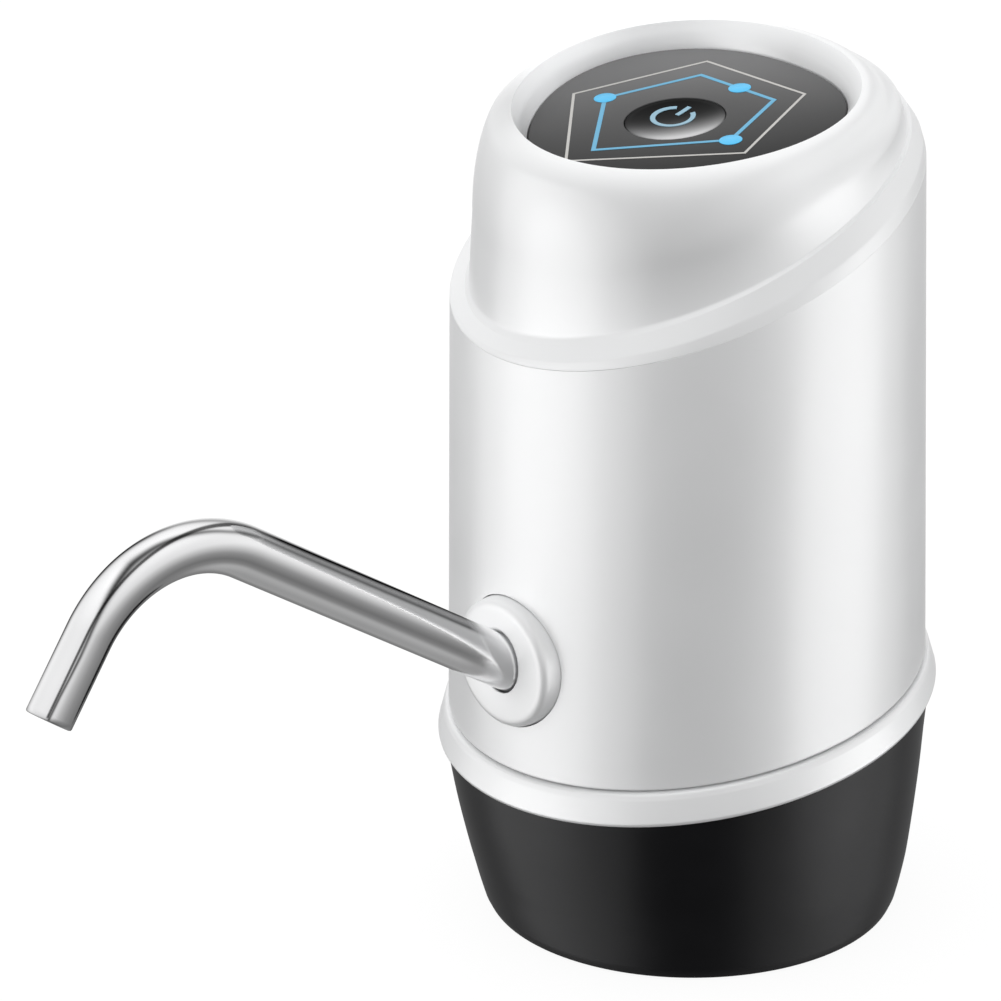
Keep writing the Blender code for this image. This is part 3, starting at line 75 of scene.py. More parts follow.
# Slope (dz/dx, dz/dy) of a level circle by its height, as in part.py
LEANS = (
    (8.0, 0.0, 0.0),
    (BASE_HEIGHT, 0.0, RING_LEAN),
    (BODY_LOW, 0.0, RING_LEAN),
    (BODY_HIGH, 0.0, SHOULDER_LEAN),
    (CAP_LOW, 0.0, SHOULDER_LEAN),
    (CAP_LOW + 9.5, RIM_LEAN_X, RIM_LEAN_Y),
)
# The same for the cap's outside, whose band and rim lean a little more than the solid's
CAP_LEANS = ((BODY_HIGH, 0.0, 0.4074), (116.0, 0.07, 0.4417), (130.9, -0.0876, 0.1749))

# Base, as (radius, height). Its foot is moved over, by less the higher up.
BASE_PROFILE = ((33.7, 1.5), (34.6, 5.0), (35.75, 10.5), (37.4, 21.0), (38.45, 30.0), (38.8, 33.45))
BASE_EDGE = [(38.7, 33.65), (38.4, 33.7), (37.2, 33.7), (36.9, 33.6)]
BASE_MOUTH_R = 28.6
BASE_INNER_R = 31.1
BASE_FLOOR = 2.2
# The inside follows the smoothed profile from this point up
BASE_INSIDE_FROM = 8
FOOT_SHIFT_X = 0.45
FOOT_SHIFT_Y = 0.50
FOOT_SHIFT_TOP = 30

RING_OUTLINE = (
    (35.8, 41.7, 0.3), (35.8, 38.8), (38.55, 38.8, 0.55), (38.95, 37.9, 1.0), (39.9, 34.6, 0.5),
    (39.6, 34.0, 0.35), (36.0, 34.0), (36.0, 31.1), (33.8, 31.1), (33.8, 41.7, 0.3),
)

BODY_OUTLINE = (
    (BODY_HIGH_R, BODY_HIGH, 0.05), (BODY_LOW_R, BODY_LOW, 0.55), (BODY_LOW_R - WALL, BODY_LOW),
    (BODY_HIGH_R - WALL, BODY_HIGH),
)
# Its holes: between which distances from the axis they cut, and the slot's half sizes and corner
BOSS_CUT = (30.0, 45.0)
SLOT_CUT = (28.0, 44.0)
SLOT_SHAPE = (4.2, 1.8, 1.3)

# Charging socket's shell and tongue, as (out, distance in from the front); PORT_BACK counts from the back
PORT_CORNER = 1.25
PORT_BACK = ((-0.15, 0.0), (0.0, 0.15))
PORT_FRONT = (
    (0.0, 0.12), (-0.05, 0.03), (-0.14, 0.0), (-0.25, 0.0), (-0.32, 0.06), (-0.34, 0.2), (-0.34, 4.4),
)
TONGUE_SHAPE = (2.0, 0.3, 0.2)
TONGUE_FRONT = ((0.0, 4.6), (0.0, 0.75), (-0.03, 0.66), (-0.12, 0.6))

# Control panel
PANEL_THICK = 1.7
PANEL_SEAT_H = 127.3
PANEL_GAP = 0.3
PANEL_NORMAL = Vector((-RIM_LEAN_X, -RIM_LEAN_Y, 1)).normalized()
PANEL_H = PANEL_SEAT_H + (PANEL_THICK + PANEL_GAP) / PANEL_NORMAL.z
LEDGE_R = 21.5
LEDGE_THICK = 2.6
# Painted shade on the ledge that the panel sits on
LEDGE_PAINTED_SHADE = 0.3
BUTTON_R = 7.7
BUTTON_LIP = 0.7
BUTTON_DISH = 0.6
BUTTON_AT = (-0.5, -1.8)
DISH_STEPS = 14
BUTTON_OUTLINE = (
    (BUTTON_R - 0.15, -0.02, 0.1), (BUTTON_R, -0.2, 0.1), (BUTTON_R, -2.0), (9.2, -2.0), (9.2, -3.0),
    (0, -3.0),
)
# The panel's opening is a rounded triangle: its radius, and cosine and sine shares of 1, 2 and 3 turns
OPENING_R = 24.7
OPENING_WAVES = ((-0.8, -0.05), (0.25, -0.5), (0.0, 1.11))

# The cap below its rim as (radius, height, rounding), and the wall down to the panel as (out, up)
LIP_STEPS = 18
CREST_SHARE = 0.35
CREST_SHARE_POWER = 1.5
CAP_LOWER = (
    (CAP_SIDE_R, LIP_START), (33.45, 116.4, 0.5), (34.1, 116.0, 0.6), (35.9, 114.2, 1.0),
    (36.43, 113.06, 0.04), (36.2, 113.06), (34.2, 113.06), (34.2, 108.8), (32.4, 108.8), (32.4, 113.5),
    (30.6, 121.0),
)
FUNNEL = ((0.0, 0.0), (0.3, 0.8), (0.85, 1.9), (1.45, 2.8))

# Painted shade on the rim, in soft humps: degrees round the axis, spread in degrees and depth (below 0 is
# lighter, a painted highlight)
LIP_FRONT = ((-53, 26, 0.15), (-12, 12, -0.10))
LIP_FRONT_FADE = 1.4
LIP_LEFT = (-138, 28, 0.26)
LIP_CREST_POWER = 6
# Painted shade of the opening's wall, below 0 a painted highlight: where its far and left sides are, then at
# its foot and at its crest the depth all round, what the far side adds and what the left side adds
WALL_FAR_AT = math.radians(165)
WALL_FAR_FROM = 0.65
WALL_FAR_SPAN = 0.3
WALL_LEFT_AT = 222
WALL_LEFT_SPREAD = 30
WALL_FOOT_SHADE = (0.36, -0.55, 0.0)
WALL_CREST_SHADE = (-0.05, -0.22, 0.12)

# Prints on the panel and the button, in the panel's plane
GREY_CORNERS = ((-12.1, 16.7), (10.0, 15.7), (17.6, -5.1), (-3.1, -22.1), (-20.8, -3.9))
BLUE_CORNERS = ((-9.0, 12.3), (7.55, 11.5), (12.5, -2.9), (-2.5, -17.0), (-15.4, -2.3))
DOTS_AT = ((-0.2, 11.9), (12.5, -2.9), (-15.4, -2.3))
GREY_WIDTH = 0.44
BLUE_WIDTH = 0.68
DOT_R = 1.75
DOT_SIDES = 40
PRINT_SINK = -0.05
LINE_RISE = 0.04
DOT_RISE = 0.08
DOT_BEVEL_IN = 0.04
DOT_BEVEL_DOWN = 0.02
SIGN_AT = (-1.4, 0.9)
SIGN_HEADING = math.radians(93.0)
SIGN_GAP = math.radians(31.0)
SIGN_R = 3.1
SIGN_WIDTH = 0.78
SIGN_RISE = 0.08
SIGN_STEPS = 48
SIGN_BAR = (0.9, 1.7, 2.4, 3.1, 3.8)

# Outlet
OUTLET_TILT = math.radians(32.6)
BOSS_FACE_Y = -39.6
OUTLET_H = 51.0755
BOSS_DROP = 0.6
BOSS_R = 10.4
BOSS_OUTLINE = ((BOSS_R, 7.4), (BOSS_R, 3.2), (10.1, 0.0, 2.6), (7.0, 0.0))
BOSS_EDGE_STEPS = 9
BORE_R = 4.22
BORE_EDGE = ((0.50, 0.0), (0.22, 0.06), (0.06, 0.22), (0.0, 0.5), (0.0, 7.4))
SLEEVE_OUTLINE = ((6.7, -9.2), (6.7, -20.0), (5.7, -20.0), (5.7, -9.2))
TUBE_SIDES = 180
TUBE_ROOT_R = 4.0
TUBE_TIP_R = 3.45
TUBE_WALL = 0.55
TUBE_INSERT = 17.0
TUBE_RUN = 55.9
TUBE_BEND_R = 20.1
TUBE_BEND_ANGLE = math.radians(87.0)
TUBE_END_RUN = 12.8
RUN_STEPS = 18
BEND_STEPS = 48
END_RUNS = (3.0, 6.0, 9.0, TUBE_END_RUN - 0.9, TUBE_END_RUN)
# Rings of the tube's end edges, as (narrower, back from the end)
EDGE_OUTSIDE = (0.0, 0.3)
EDGE_ROUND = (0.09, 0.08)
EDGE_FACE = (0.28, 0.0)
EDGE_INSIDE = (TUBE_WALL, 0.12)

# Painted reflections along the spout: dark lines, and light ones where the depth is below 0. Each has three
# tables by millimetres from the boss: degrees from the tube's top, depth (below 0 is lighter) and half width
# in degrees.
PAINTED_REFLECTION_LINES = (
    (
        ((0, 4), (12, 8), (20, 13), (30, 19), (40, 23), (50, 25.5), (56, 28), (62, 13), (68, -3),
         (72, -13), (76, -24), (84, -27), (92, -34), (99, -38)),
        ((7, 0), (11, 0.96), (20, 0.92), (30, 0.89), (54, 0.86), (60, 0.35), (68, 0.4), (72, 0.75),
         (76, 0.92), (84, 0.72), (92, 0.75), (99, 0.6)),
        ((0, 9), (56, 9), (68, 8), (76, 13), (84, 11), (99, 9)),
    ),
    (
        ((0, 45), (20, 45), (30, 46.5), (50, 47.5), (56, 46), (62, 45), (68, 37), (72, 31.5), (76, 30),
         (80, 40), (84, 49.5), (88, 54), (92, 53), (96, 50.5), (99, 50.5)),
        ((7, 0), (11, 0.75), (40, 0.7), (56, 0.6), (62, 0.65), (68, 0.82), (72, 0.9), (76, 0.95),
         (80, 0.95), (84, 0.88), (99, 0.88)),
        ((0, 5.5), (56, 5), (62, 5), (68, 6), (72, 9), (76, 13), (80, 9), (84, 5), (88, 4.2), (92, 3.4),
         (99, 3.2)),
    ),
    # A painted dark reflection along the tip's lower side
    (((0, 138), (99, 138)), ((76, 0), (84, 0.6), (99, 0.7)), ((0, 12), (99, 12))),
    # A painted light reflection along the run's lower side
    (((0, 122), (99, 122)), ((8, 0), (12, -0.28), (62, -0.28), (70, 0)), ((0, 10), (99, 10))),
    # A painted reflection of the boss, lighter next to it
    (((0, 30), (99, 30)), ((0, -0.3), (5, -0.3), (8, 0)), ((0, 60), (99, 60))),
)
# Depth of the painted reflection's shade between the first two lines, and the degrees over which it fades in
BETWEEN_DEPTH = ((7, 0.0), (11, 0.5), (50, 0.45), (58, 0.0))
BETWEEN_FADE = 6

# Places of the pieces: on the axis, in the panel's plane, along the spout's line and behind the boss's face
AXIS = Matrix.Translation((0, AXIS_Y, 0))
panel_x = (Vector((1, 0, 0)) - PANEL_NORMAL.x * PANEL_NORMAL).normalized()
panel_y = PANEL_NORMAL.cross(panel_x)
PANEL_TURN = Matrix((panel_x, panel_y, PANEL_NORMAL)).transposed()
PANEL = Matrix.Translation((0, AXIS_Y, PANEL_H)) @ PANEL_TURN.to_4x4()
BUTTON = PANEL @ Matrix.Translation((*BUTTON_AT, 0))
BOSS_FACE = Matrix.Translation((0, AXIS_Y + BOSS_FACE_Y, OUTLET_H))
OUTLET = BOSS_FACE @ Matrix.Rotation(math.pi / 2 - OUTLET_TILT, 4, "X")
BOSS = Matrix.Translation((0, AXIS_Y, OUTLET_H - BOSS_DROP)) @ Matrix.Rotation(math.pi / 2, 4, "X")
charge_low, charge_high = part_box("charge_socket")
CHARGE = Matrix.Translation((0, AXIS_Y, (charge_low.z + charge_high.z) / 2 / MM))


# ---- materials

BLOTCH_SCALE = 60.0
GRAIN_SCALE = 1400.0
ROUGH_SPREAD = 0.05


def node_material(name):
    made = bpy.data.materials.new(name)
    made.use_nodes = True
    tree = made.node_tree
    return made, tree, tree.nodes["Principled BSDF"]


def object_noise(tree, scale, detail):
    """Noise in object space; scale is in features per metre."""
    coordinates = tree.nodes.new("ShaderNodeTexCoord")
    noise = tree.nodes.new("ShaderNodeTexNoise")
    noise.inputs["Scale"].default_value = scale
    noise.inputs["Detail"].default_value = detail
    tree.links.new(coordinates.outputs["Object"], noise.inputs["Vector"])
    return noise.outputs["Fac"]


def ranged(tree, value, low, high, from_low=0.3, from_high=0.7):
    node = tree.nodes.new("ShaderNodeMapRange")
    node.inputs["From Min"].default_value = from_low
    node.inputs["From Max"].default_value = from_high
    node.inputs["To Min"].default_value = low
    node.inputs["To Max"].default_value = high
    tree.links.new(value, node.inputs["Value"])
    return node.outputs["Result"]


def mixed(tree, factor, dark, light):
    node = tree.nodes.new("ShaderNodeMix")
    node.data_type = "RGBA"
    node.inputs["A"].default_value = (*dark, 1)
    node.inputs["B"].default_value = (*light, 1)
    tree.links.new(factor, node.inputs["Factor"])
    return node.outputs["Result"]


def multiplied(tree, first, second):
    node = tree.nodes.new("ShaderNodeMix")
    node.data_type = "RGBA"
    node.blend_type = "MULTIPLY"
    node.inputs["Factor"].default_value = 1.0
    tree.links.new(first, node.inputs["A"])
    tree.links.new(second, node.inputs["B"])
    return node.outputs["Result"]


def colour_ramp(tree, factor, stops):
    """Ramp through stops of (place, colour)."""
    ramp = tree.nodes.new("ShaderNodeValToRGB")
    elements = ramp.color_ramp.elements
    for index, (place, colour) in enumerate(stops):
        element = elements[index] if index < 2 else elements.new(place)
        element.position = place
        element.color = (*colour, 1)
    tree.links.new(factor, ramp.inputs["Fac"])
    return ramp


def with_painted_shade(tree, colour):
    """Gives the share that the mesh's painted shade, its "shade", leaves, which is all without one, and the
    colour times it.
    """
    # Painted shade, and below 0 a painted highlight, read from the mesh
    shade = tree.nodes.new("ShaderNodeAttribute")
    shade.attribute_name = "shade"
    kept = tree.nodes.new("ShaderNodeMath")
    kept.operation = "SUBTRACT"
    kept.inputs[0].default_value = 1.0
    tree.links.new(shade.outputs["Fac"], kept.inputs[1])
    return kept.outputs[0], multiplied(tree, colour, kept.outputs[0])


def moulded(name, colour, roughness, mottle=0.02, ior=1.5, metallic=0.0, bump=0.05, depth=0.00002):
    """Plastic, rubber or metal with slow colour change, uneven gloss, a fine surface grain, and the painted
    shade and painted highlights of meshes that carry them.
    """
    made, tree, shader = node_material(name)
    shader.inputs["IOR"].default_value = ior
    shader.inputs["Metallic"].default_value = metallic
    slow = object_noise(tree, BLOTCH_SCALE, 2.0)
    fine = object_noise(tree, GRAIN_SCALE, 4.0)
    dark = tuple(c * (1 - mottle) for c in colour)
    light = tuple(min(1.0, c * (1 + mottle)) for c in colour)
    kept, shown = with_painted_shade(tree, mixed(tree, ranged(tree, slow, 0, 1), dark, light))
    tree.links.new(shown, shader.inputs["Base Color"])
    # Metal mirrors by its base colour face on and by its specular tint at the edges, so the painted shade
    # darkens both
    if metallic == 1.0:
        tree.links.new(kept, shader.inputs["Specular Tint"])
    uneven = ranged(tree, slow, roughness - ROUGH_SPREAD / 2, roughness + ROUGH_SPREAD / 2)
    tree.links.new(uneven, shader.inputs["Roughness"])
    relief = tree.nodes.new("ShaderNodeBump")
    relief.inputs["Strength"].default_value = bump
    relief.inputs["Distance"].default_value = depth
    tree.links.new(fine, relief.inputs["Height"])
    tree.links.new(relief.outputs["Normal"], shader.inputs["Normal"])
    return made


def along(tree, origin, heading, length):
    """0 to 1 in object space from origin over the length (mm) in the heading's direction."""
    coordinates = tree.nodes.new("ShaderNodeTexCoord")
    moved = tree.nodes.new("ShaderNodeVectorMath")
    moved.operation = "SUBTRACT"
    moved.inputs[1].default_value = Vector(origin) * MM
    tree.links.new(coordinates.outputs["Object"], moved.inputs[0])
    dot = tree.nodes.new("ShaderNodeVectorMath")
    dot.operation = "DOT_PRODUCT"
    dot.inputs[1].default_value = Vector(heading).normalized()
    tree.links.new(moved.outputs["Vector"], dot.inputs[0])
    return ranged(tree, dot.outputs["Value"], 0, 1, 0.0, length * MM)


def painted_light_across(made, start, heading, length, stops):
    """Colours a plastic by a soft gradient in the panel's plane, its tone with painted light, keeping its
    mottle.
    """
    tree = made.node_tree
    shader = tree.nodes["Principled BSDF"]
    plain = shader.inputs["Base Color"].links[0].from_socket
    origin = (PANEL @ Vector((*start, 0))).to_tuple()
    share = along(tree, origin, PANEL.to_3x3() @ Vector((*heading, 0)), length)
    ramp = colour_ramp(tree, share, [(place, (level, level, level * 1.01)) for place, level in stops])
    ramp.color_ramp.interpolation = "B_SPLINE"
    tree.links.new(multiplied(tree, ramp.outputs["Color"], plain), shader.inputs["Base Color"])


MATERIALS = {
    "white_plastic": moulded("white_gloss_abs", (0.78, 0.785, 0.79), 0.33, ior=1.9, mottle=0.008, bump=0.03),
    "black_plastic": moulded("black_gloss_abs", (0.006, 0.006, 0.007), 0.33, ior=1.22, mottle=0.2, bump=0.05),
    "panel_plastic": moulded("smoked_panel", (0.9, 0.9, 0.9), 0.30, ior=1.15, mottle=0.05, bump=0.03),
    "button_plastic": moulded("button_gloss", (0.9, 0.9, 0.9), 0.40, ior=1.09, mottle=0.05, bump=0.03),
    "frame_plastic": moulded("grey_frame", (0.50, 0.52, 0.55), 0.45, mottle=0.04, bump=0.25, depth=0.00005),
    "steel": moulded("polished_steel", (0.72, 0.72, 0.725), 0.11, metallic=1.0, mottle=0.02, bump=0.02),
    "motor_steel": moulded("plated_steel", (0.50, 0.50, 0.52), 0.35, metallic=1.0, mottle=0.06, bump=0.1),
    "silicone": moulded("silicone", (0.74, 0.75, 0.74), 0.50, mottle=0.03, bump=0.2, depth=0.00004),
    "rubber": moulded("black_rubber", (0.03, 0.03, 0.03), 0.70, mottle=0.15, bump=0.4, depth=0.00005),
    "circuit_green": moulded("solder_mask", (0.015, 0.12, 0.05), 0.35, mottle=0.2, bump=0.2, depth=0.00005),
    "cell_wrap": moulded("cell_wrap", (0.03, 0.16, 0.48), 0.32, mottle=0.06, bump=0.15, depth=0.00004),
    "contact_metal": moulded("nickel_strip", (0.66, 0.62, 0.55), 0.30, metallic=1.0, mottle=0.05, bump=0.2),
    "diffuser": moulded("diffuser", (0.78, 0.83, 0.88), 0.35, mottle=0.02, bump=0.1),
    "led_resin": moulded("led_resin", (0.55, 0.72, 0.92), 0.25, mottle=0.05, bump=0.1),
    "red_wire": moulded("red_insulation", (0.50, 0.02, 0.02), 0.42, mottle=0.08, bump=0.2, depth=0.00004),
    "black_wire": moulded(
        "black_insulation", (0.015, 0.015, 0.015), 0.42, mottle=0.15, bump=0.2, depth=0.00004
    ),
}
PRINT_GREY = moulded("grey_print", (0.50, 0.49, 0.47), 0.45, mottle=0.05, bump=0.2)
PRINT_BLUE = moulded("blue_print", (0.085, 0.38, 0.60), 0.40, mottle=0.05, bump=0.2)
SIGN_BLUE = moulded("blue_sign", (0.25, 0.44, 0.56), 0.40, mottle=0.05, bump=0.2)
DOT_BLUE = moulded("blue_dot", (0.052, 0.50, 0.86), 0.35, mottle=0.04, bump=0.2)

# Gradients of panel and button: start, heading, length and (share, level) stops. The panel's dark smoked tone
# carries a painted reflection, lighter towards its back left.
PANEL_TONE_AND_PAINTED_REFLECTION = (
    (-17.3, 16.6), (0.72, -0.69), 46.0, ((0.0, 0.205), (0.30, 0.128), (0.62, 0.052), (1.0, 0.005)),
)
# The button is dark, with painted shading of its dish that lightens it towards its front right
BUTTON_TONE_AND_PAINTED_SHADE = (
    (BUTTON_AT[0] - 0.82 * BUTTON_R, BUTTON_AT[1] + 0.57 * BUTTON_R), (0.82, -0.57), 2 * BUTTON_R,
    ((0.0, 0.003), (0.38, 0.006), (0.58, 0.045), (0.80, 0.30), (1.0, 0.80)),
)


# ---- shape helpers

SHARP_FROM = math.radians(40.0)


def values_at(keys, place):
    """Values at a place, from keys of (place, value, ...) in rising order."""
    if place <= keys[0][0]:
        return keys[0][1:]
    for low, high in zip(keys, keys[1:]):
        if place <= high[0]:
            share = (place - low[0]) / (high[0] - low[0])
            return tuple(a + share * (b - a) for a, b in zip(low[1:], high[1:]))
    return keys[-1][1:]


def level_at(keys, place):
    return values_at(keys, place)[0]


def turns(sides):
    return [2 * math.pi * k / sides for k in range(sides)]


def opening_extra(angle):
    """How much further out than OPENING_R the panel's opening lies in a direction."""
    return sum(c * math.cos(turn * angle) + s * math.sin(turn * angle)
               for turn, (c, s) in enumerate(OPENING_WAVES, start=1))


def softened(corners, steps=5):
    """A closed outline whose corners are rounded. A corner is (r, h) or (r, h, radius)."""
    outline = []
    count = len(corners)
    for index, corner in enumerate(corners):
        here = Vector(corner[:2])
        radius = corner[2] if len(corner) > 2 else 0.0
        if not radius:
            outline.append(tuple(here))
            continue
        before = Vector(corners[index - 1][:2])
        after = Vector(corners[(index + 1) % count][:2])
        back, on = (before - here), (after - here)
        half = back.angle(on) / 2
        reach = min(radius / math.tan(half), 0.49 * back.length, 0.49 * on.length)
        start, end = here + back.normalized() * reach, here + on.normalized() * reach
        for step in range(steps + 1):
            t = step / steps
            outline.append(tuple(start * (1 - t) ** 2 + here * 2 * t * (1 - t) + end * t * t))
    return outline


def through(points, per=6):
    """A smooth line through the points (Catmull-Rom)."""
    line = []
    ends = [points[0]] + list(points) + [points[-1]]
    for a, b, c, d in zip(ends, ends[1:], ends[2:], ends[3:]):
        a, b, c, d = (Vector(p) for p in (a, b, c, d))
        for step in range(per):
            t = step / per
            line.append(tuple(0.5 * (2 * b + (c - a) * t + (2 * a - 5 * b + 4 * c - d) * t * t
                                     + (3 * b - a - 3 * c + d) * t ** 3)))
    line.append(tuple(points[-1]))
    return line


def rounded_frame(half_wide, half_high, corner, y, steps=8):
    """Rounded rectangle across the Y axis."""
    points = []
    for index, (sx, sz) in enumerate(((1, 1), (-1, 1), (-1, -1), (1, -1))):
        for step in range(steps + 1):
            angle = math.pi / 2 * (index + step / steps)
            points.append((sx * (half_wide - corner) + corner * math.cos(angle), y,
                           sz * (half_high - corner) + corner * math.sin(angle)))
    return points


def ring_surface(rings, closed=False, ends=False, bm=None):
    """Quads between rings of points, added to a bmesh or a new one; a ring of one point is a pole."""
    if bm is None:
        bm = bmesh.new()
    made = [[bm.verts.new(point) for point in ring] for ring in rings]
    pairs = list(zip(made, made[1:]))
    if closed:
        pairs.append((made[-1], made[0]))
    for low, high in pairs:
        sides = max(len(low), len(high))
        if sides == 1:
            continue
        for k in range(sides):
            after = k + 1
            corners = [low[k % len(low)], low[after % len(low)], high[after % len(high)], high[k % len(high)]]
            unique = []
            for corner in corners:
                if corner not in unique:
                    unique.append(corner)
            bm.faces.new(unique)
    if ends:
        bm.faces.new(made[0])
        bm.faces.new(made[-1])
    return bm


def capped(bm):
    bmesh.ops.holes_fill(bm, edges=bm.edges)
    return bm


def turned(outline, sides=SHELL_SIDES, leaned=False):
    """Turns an outline of (radius, height) about Z. It is a loop unless it starts and ends on the axis."""
    on_axis = outline[0][0] == 0 and outline[-1][0] == 0
    rings = []
    for radius, height in outline:
        slope_x, slope_y = values_at(LEANS, height) if leaned else (0, 0)
        ring = []
        for angle in turns(sides if radius > 0 else 1):
            x, y = radius * math.cos(angle), radius * math.sin(angle)
            ring.append((x, y, height + slope_x * x + slope_y * y))
        rings.append(ring)
    return ring_surface(rings, not on_axis)


def placed_mesh(name, bm, place):
    """Turns a bmesh in millimetres into a mesh at its place."""
    bmesh.ops.recalc_face_normals(bm, faces=bm.faces)
    mesh = bpy.data.meshes.new(name)
    bm.to_mesh(mesh)
    bm.free()
    mesh.transform(Matrix.Scale(MM, 4) @ place)
    return mesh


def linked(name, data):
    obj = bpy.data.objects.new(name, data)
    bpy.context.scene.collection.objects.link(obj)
    return obj


def piece(name, bm, slot, body, replaces=(), place=AXIS, material=None):
    """A visible piece that rides on a body, in its slot's material unless another is given."""
    mesh = placed_mesh(name, bm, place)
    mesh.shade_smooth()
    mesh.set_sharp_from_angle(angle=SHARP_FROM)
    mesh.materials.append(material or MATERIALS[slot])
    obj = linked(name, mesh)
    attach(obj, body)
    if replaces:
        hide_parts(*replaces)
    return obj


def set_painted_shade(obj, shades):
    """Gives a piece one painted shade per vertex, below 0 a painted highlight, in the order in which its
    rings were made.
    """
    obj.data.attributes.new("shade", "FLOAT", "POINT").data.foreach_set("value", shades)
    return obj


def cut(obj, name, bm, place):
    """Takes a shape out of a piece at once."""
    tool = linked(name, placed_mesh(name, bm, place))
    modifier = obj.modifiers.new("cut", "BOOLEAN")
    modifier.operation = "DIFFERENCE"
    modifier.solver = "EXACT"
    modifier.object = tool
    bpy.context.view_layer.update()
    depsgraph = bpy.context.evaluated_depsgraph_get()
    mesh = bpy.data.meshes.new_from_object(obj.evaluated_get(depsgraph))
    obj.modifiers.clear()
    old = obj.data
    obj.data = mesh
    bpy.data.meshes.remove(old)
    bpy.data.objects.remove(tool)


# ---- shells

def make_base():
    outer = through(BASE_PROFILE)
    inner = [(r - WALL, h) for r, h in reversed(outer[BASE_INSIDE_FROM:])]
    foot = softened([(BASE_MOUTH_R, BASE_FLOOR), (BASE_MOUTH_R, 0.0), (BASE_FOOT_R, 0.0, 0.5), outer[0]])
    outline = foot[:-1] + outer + BASE_EDGE + inner + [(BASE_INNER_R, BASE_FLOOR)]
    bowl = turned(outline, leaned=True)
    for vertex in bowl.verts:
        share = max(0.0, 1 - vertex.co.z / FOOT_SHIFT_TOP)
        vertex.co.x += FOOT_SHIFT_X * share
        vertex.co.y += FOOT_SHIFT_Y * share
    piece("base_shell", bowl, "black_plastic", "housing", ("base_cup",))


def make_ring():
    ring = turned(softened(RING_OUTLINE), leaned=True)
    piece("trim_ring", ring, "white_plastic", "housing", ("base_ring",))


def make_body():
    tube = turned(softened(BODY_OUTLINE), leaned=True)
    body = piece("body_tube", tube, "white_plastic", "housing", ("body_shell",))
    near, far = BOSS_CUT
    hole_r = BOSS_R + GAP
    hole = turned([(0, near), (hole_r, near), (hole_r, far), (0, far)], ROUND_SIDES)
    cut(body, "outlet_hole", hole, BOSS)
    slot = capped(ring_surface([rounded_frame(*SLOT_SHAPE, y) for y in SLOT_CUT]))
    cut(body, "charge_slot", slot, CHARGE)


def make_charge_port():
    """Pressed steel shell of the charging socket, with a rolled mouth and its contact tongue."""
    low, high = (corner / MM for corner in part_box("charge_socket"))
    back, front = low.y - AXIS_Y, high.y - AXIS_Y
    half_wide, half_high = (high.x - low.x) / 2, (high.z - low.z) / 2
    steps = [(out, back + on) for out, on in PORT_BACK] + [(out, front - off) for out, off in PORT_FRONT]
    rings = [rounded_frame(half_wide + out, half_high + out, PORT_CORNER + out, y) for out, y in steps]
    piece("charge_port", capped(ring_surface(rings)), "steel", "housing", ("charge_socket",), CHARGE)
    tongue = [
        rounded_frame(*(size + out for size in TONGUE_SHAPE), front - off) for out, off in TONGUE_FRONT
    ]
    piece("charge_tongue", capped(ring_surface(tongue)), "black_plastic", "housing", (), CHARGE)


def hump(place, middle, spread, height):
    return height * math.exp(-((place - middle) / spread) ** 2)


def wall_painted_shade(angle, part):
    """Painted shade of the opening's wall, below 0 a painted highlight: part is 0 at the panel and 1 at the
    crest.
    """
    far = 0.5 + 0.5 * math.cos(angle - WALL_FAR_AT)
    far = max(0.0, min(1.0, (far - WALL_FAR_FROM) / WALL_FAR_SPAN))
    left = max(0.0, 1 - abs(math.degrees(angle) - WALL_LEFT_AT) / WALL_LEFT_SPREAD)
    low, high = (
        depth + by_far * far + by_left * left
        for depth, by_far, by_left in (WALL_FOOT_SHADE, WALL_CREST_SHADE)
    )
    return low + (high - low) * part


def lip_painted_shade(angle, level):
    """Painted shade and painted highlight on the rim's outside: level is 0 at its foot and 1 at the crest."""
    turn = (math.degrees(angle) + 180) % 360 - 180
    front = sum(hump(turn, *shade) for shade in LIP_FRONT)
    top = wall_painted_shade(angle, 1.0) + hump(turn, *LIP_LEFT)
    return front * min(1.0, LIP_FRONT_FADE * math.sqrt(1 - level * level)) + top * level ** LIP_CREST_POWER


# Painted shade of the same depth all round
def even_painted_shade(angle, level):
    return level


def cap_outline():
    """Entries of (radius, height, share of the opening's extra radius, share of the panel's lean, painted
    shade function, its level)."""
    outline = []
    for step in range(LIP_STEPS + 1):
        bend = math.pi / 2 * step / LIP_STEPS
        level, out = math.cos(bend), math.sin(bend)
        radius = CREST_R + (CAP_SIDE_R - CREST_R) * out
        height = LIP_START + (CREST_H - LIP_START) * level
        outline.append((radius, height, CREST_SHARE * level ** CREST_SHARE_POWER, 0, lip_painted_shade, level))
    for radius, height in softened(CAP_LOWER)[1:]:
        outline.append((radius, height, 0, 0, even_painted_shade, 0))
    for radius, height, share in (
        (LEDGE_R, PANEL_SEAT_H - LEDGE_THICK, 0), (LEDGE_R, PANEL_SEAT_H, 0), (OPENING_R, PANEL_SEAT_H, 1),
    ):
        outline.append((radius, height, share, 1, even_painted_shade, LEDGE_PAINTED_SHADE))
    panel_top = PANEL_SEAT_H + PANEL_GAP + PANEL_THICK
    funnel_h = CREST_H - PANEL_SEAT_H - PANEL_GAP - PANEL_THICK
    for out, up in through([*FUNNEL, (CREST_R - OPENING_R, funnel_h)])[:-1]:
        part = up / funnel_h
        share = 1 - (1 - CREST_SHARE) * part
        outline.append((OPENING_R + out, panel_top + up, share, 1 - part, wall_painted_shade, part))
    return outline


